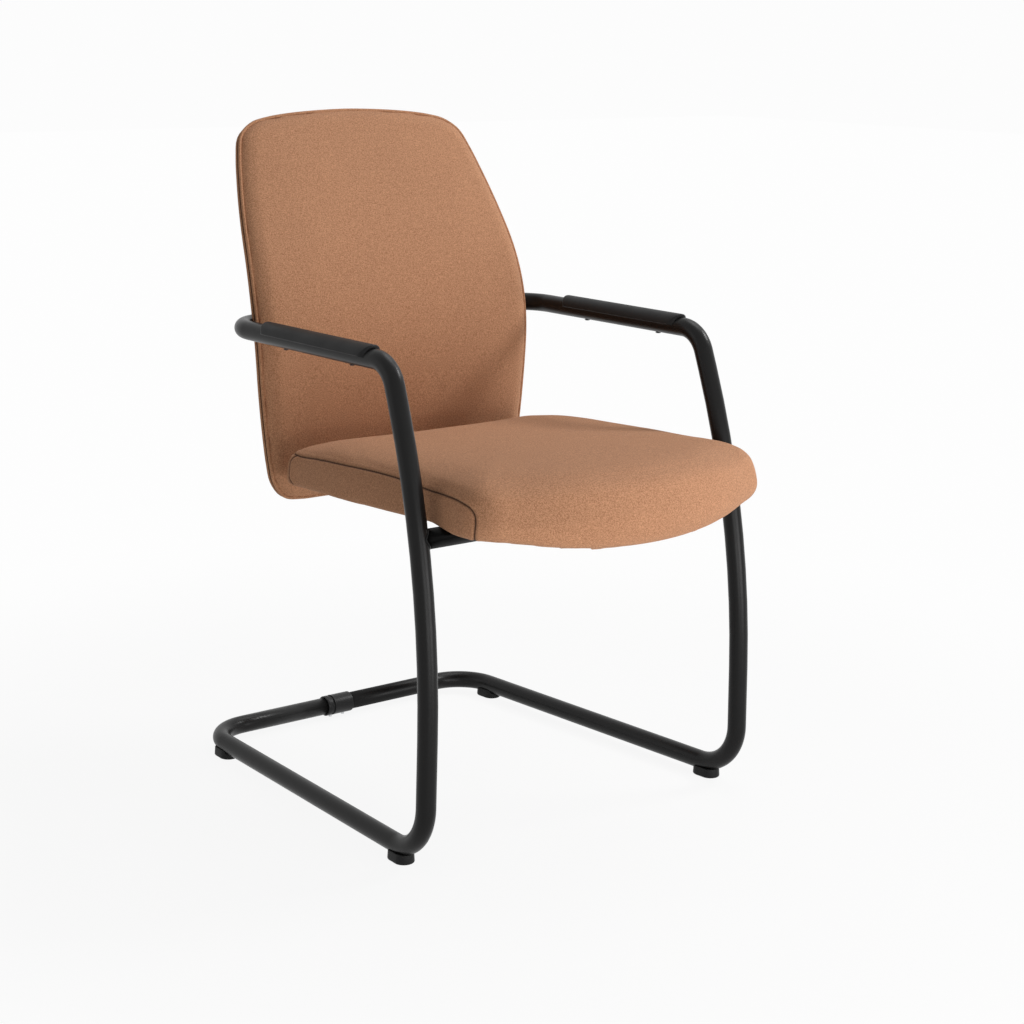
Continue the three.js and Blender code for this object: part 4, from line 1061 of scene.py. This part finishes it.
def buildSeat():
    shrink = stuffing["shrink"]
    rings = finerRings(seatRings(shrink), seat["around"], seat["across"])
    piece = skinRings("seatCushion", [[fromSeat(*p) for p in ring] for ring in rings], tanCloth)
    stuff(piece, lambda p: 1 - ease(toSeat(p).z, *seat["holdRange"]))
    guides = [seatSeam + [(-x, y, z) for x, y, z in reversed(seatSeam[:-1])],
              seatEndSeamAndShadow, [(-x, y, z) for x, y, z in seatEndSeamAndShadow]]
    sewSeamsWithShade(piece, [[fromSeat(*p) for p in guide] for guide in guides])
    settle(piece, "tan_fabric", "seat_cushion")
    return piece


seatCushion = buildSeat()
print("seat cushion", len(seatCushion.data.polygons), "faces")


# back

backrest = {
    "depth": 0.42615, "wideHeight": 0.619, "halfWidth": 0.226,
    "lumbarHeight": 0.5595, "lumbarRadius": 0.349, "recline": 27.3,
    "topEnd": {"height": 0.8865, "squareness": 30.5, "bluntness": 1.57, "taper": 0.228, "delay": 1.95},
    "lowEnd": {"height": 0.3765, "squareness": 15, "bluntness": 15, "taper": 0.097, "delay": 1.79},
    "edgeDepth": 0.0165, "edgeInset": 0.0125, "dish": 0.006, "holdRange": (0.003, 0.009),
    # The last pair below is where the outer panel's front edge gets painted shade, for the crevice behind
    # the piping.
    "panelThickness": 0.008, "panelInset": 0.0035, "panelCrown": 0.002, "panelCreviceShade": (-0.0024, -0.0010),
    "gap": 0.0003, "around": 4, "across": 4,
}
piping = {"radius": 0.0023, "inset": 0.0016, "forward": 0.0033, "sides": 12, "refining": 6}


def backProfile(height):
    b = backrest
    recline = math.radians(b["recline"])
    rise = max(0.0, height - b["lumbarHeight"])
    onArc = min(rise, b["lumbarRadius"] * math.sin(recline))
    lean = math.asin(onArc / b["lumbarRadius"])
    depth = b["depth"] + b["lumbarRadius"] * (1 - math.cos(lean)) + (rise - onArc) * math.tan(recline)
    return depth, lean


def backPoint(across, height, forward):
    depth, lean = backProfile(height)
    return at(across, depth - forward * math.cos(lean), height + forward * math.sin(lean))


def backOutlinePoint(end, share):
    wide = backrest["wideHeight"]
    rise = math.sin(share * math.pi / 2)
    across = (1 - rise ** end["squareness"]) ** (1 / end["bluntness"])
    halfWidth = backrest["halfWidth"] * (1 - end["taper"] * rise ** end["delay"])
    return Vector((halfWidth * across, wide + (end["height"] - wide) * rise))


def backOutline(fine=200, count=32):
    points = [backOutlinePoint(backrest["lowEnd" if i < 0 else "topEnd"], abs(i) / fine)
              for i in range(-fine, fine + 1)]
    half = evenlySpaced(points, count)
    return half + [Vector((-p.x, p.y)) for p in half[1:-1]][::-1]


backShape = backOutline()
backMiddle = Vector((0, (backrest["lowEnd"]["height"] + backrest["topEnd"]["height"]) / 2))
foldShares = [(0, 0), (-0.04, 0.25), (0.12, 0.55), (0.45, 0.8), (1, 1), (1.9, 1.12)]
faceShares = [(0.8, 0.4), (0.6, 0.65), (0.4, 0.85), (0.2, 0.97)]
seamShares = (0.25, 0.5, 0.75, 0.97)
panelEdgeShares = [(1.0, 0), (0.85, 0.03), (0.3, 0.12), (0.04, 0.3), (0, 0.5), (0.04, 0.72), (0.3, 0.9),
                   (0.9, 1), (3, 1.1)]


def onBack(outline, forward):
    return [backPoint(p.x, p.y, forward) for p in outline]


def drawnIn(outline, share):
    return [backMiddle.lerp(p, share) for p in outline]


def backRings(edges, seamForward, fronts):
    first, last = (insetOutline(backShape, edges[k][0]) for k in (0, -1))
    rings = [[backPoint(*backMiddle, seamForward)]]
    rings += [onBack(drawnIn(first, share), seamForward) for share in seamShares]
    rings += [onBack(insetOutline(backShape, inset), forward) for inset, forward in edges]
    rings += [onBack(drawnIn(last, share), forward) for share, forward in fronts]
    return rings + [[backPoint(*backMiddle, fronts[-1][1])]]


def ahead(point):  # how far a point lies in front of the back's seam surface
    height = point.z
    for _ in range(4):
        depth, lean = backProfile(height)
        forward = (depth + depthShift - point.y) * math.cos(lean) + (point.z - height) * math.sin(lean)
        height = point.z - forward * math.sin(lean)
    return forward


def buildBackCushion():
    b = backrest
    shrink = stuffing["shrink"]
    edges = [(inset * b["edgeInset"] + (shrink if depth else 0.0),
              b["gap"] / 2 + depth * b["edgeDepth"] - (shrink if depth > 0.5 else 0.0))
             for inset, depth in foldShares]
    fronts = [(share, edges[-1][1] - crown * b["dish"]) for share, crown in faceShares]
    rings = finerRings(backRings(edges, b["gap"] / 2, fronts), b["around"], b["across"])
    piece = skinRings("backCushion", rings, tanCloth)
    stuff(piece, lambda p: 1 - ease(ahead(p), *b["holdRange"]))
    settle(piece, "tan_fabric", "back_cushion")


# The thin piping where the cushion's cover meets the outer panel.
def buildPiping():
    w, sides = piping, piping["sides"]
    outline = finer(insetOutline(backShape, w["inset"]), w["refining"], True)
    points = onBack(outline, w["forward"])
    count = len(points)
    stations = [(points[i], (points[(i + 1) % count] - points[i - 1]).normalized()) for i in range(count)]
    rings = sweptRings(stations, w["radius"], sides)
    away = [(rings[-1][0] - q).length for q in rings[0]]
    turn = away.index(min(away))  # how far the last ring's numbering is turned against the first's
    last = (count - 1) * sides
    closing = [(last + i, last + (i + 1) % sides, (i + 1 + turn) % sides, (i + turn) % sides)
               for i in range(sides)]
    settle(skinRings("backPiping", rings, tanCloth, closing), "tan_fabric")


def buildOuterPanel():
    b = backrest
    edges = [(inset * b["panelInset"], -b["gap"] / 2 - depth * b["panelThickness"])
             for inset, depth in panelEdgeShares]
    fronts = [(share, edges[-1][1] - crown * b["panelCrown"]) for share, crown in faceShares]
    rings = finerRings(backRings(edges, -b["gap"] / 2, fronts), b["around"], b["across"])
    piece = skinRings("backOuterPanel", rings, tanCloth)
    # Painted shade on the panel's front edge, for the shadow in the crevice between the panel and the
    # piping.
    paintCreviceShade(piece, lambda p: ease(ahead(p), *b["panelCreviceShade"]))
    settle(piece, "tan_fabric", "back_outer_panel")


buildBackCushion()
buildPiping()
buildOuterPanel()
print("back ready")


# underside cover

cover = {"inset": 0.0245, "front": 0.0215, "height": 0.0058, "thickness": 0.0009, "refining": 4, "rows": 14}


def buildCover():
    c = cover
    outline = finer(insetOutline(seatPlan, c["inset"]), c["refining"], True)
    edge = [Vector((p.x, max(p.y, -c["front"]))) for p in outline]
    middle = Vector((0, (seat["rearReach"] - c["front"]) / 2))
    rings = [[fromSeat(*middle, c["height"])]]
    for row in range(1, c["rows"] + 1):
        rings.append([fromSeat(*middle.lerp(p, row / c["rows"]), c["height"]) for p in edge])
    piece = skinRings("undersideCover", rings, dustFelt)
    modify(piece, "SOLIDIFY", thickness=c["thickness"], offset=0)
    faceOut(piece)
    settle(piece, "black_felt", "seat_underside_cover")


buildCover()


# CAD nodes that stay

def dressNodes():
    for name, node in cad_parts.items():
        if name.startswith("arm_pad_screw"):
            material = darkZinc
        elif "screw" in name or "tee_nut" in name or name == "floor_joint_spigot":
            material = zincSteel
        elif name in ("seat_board", "back_board"):
            material = bareWood
        elif name.startswith(("seat_rail", "back_bracket")):
            material = powderCoat
        else:
            continue
        for slot in node.material_slots:
            slot.material = material


dressNodes()
print("CAD nodes dressed")
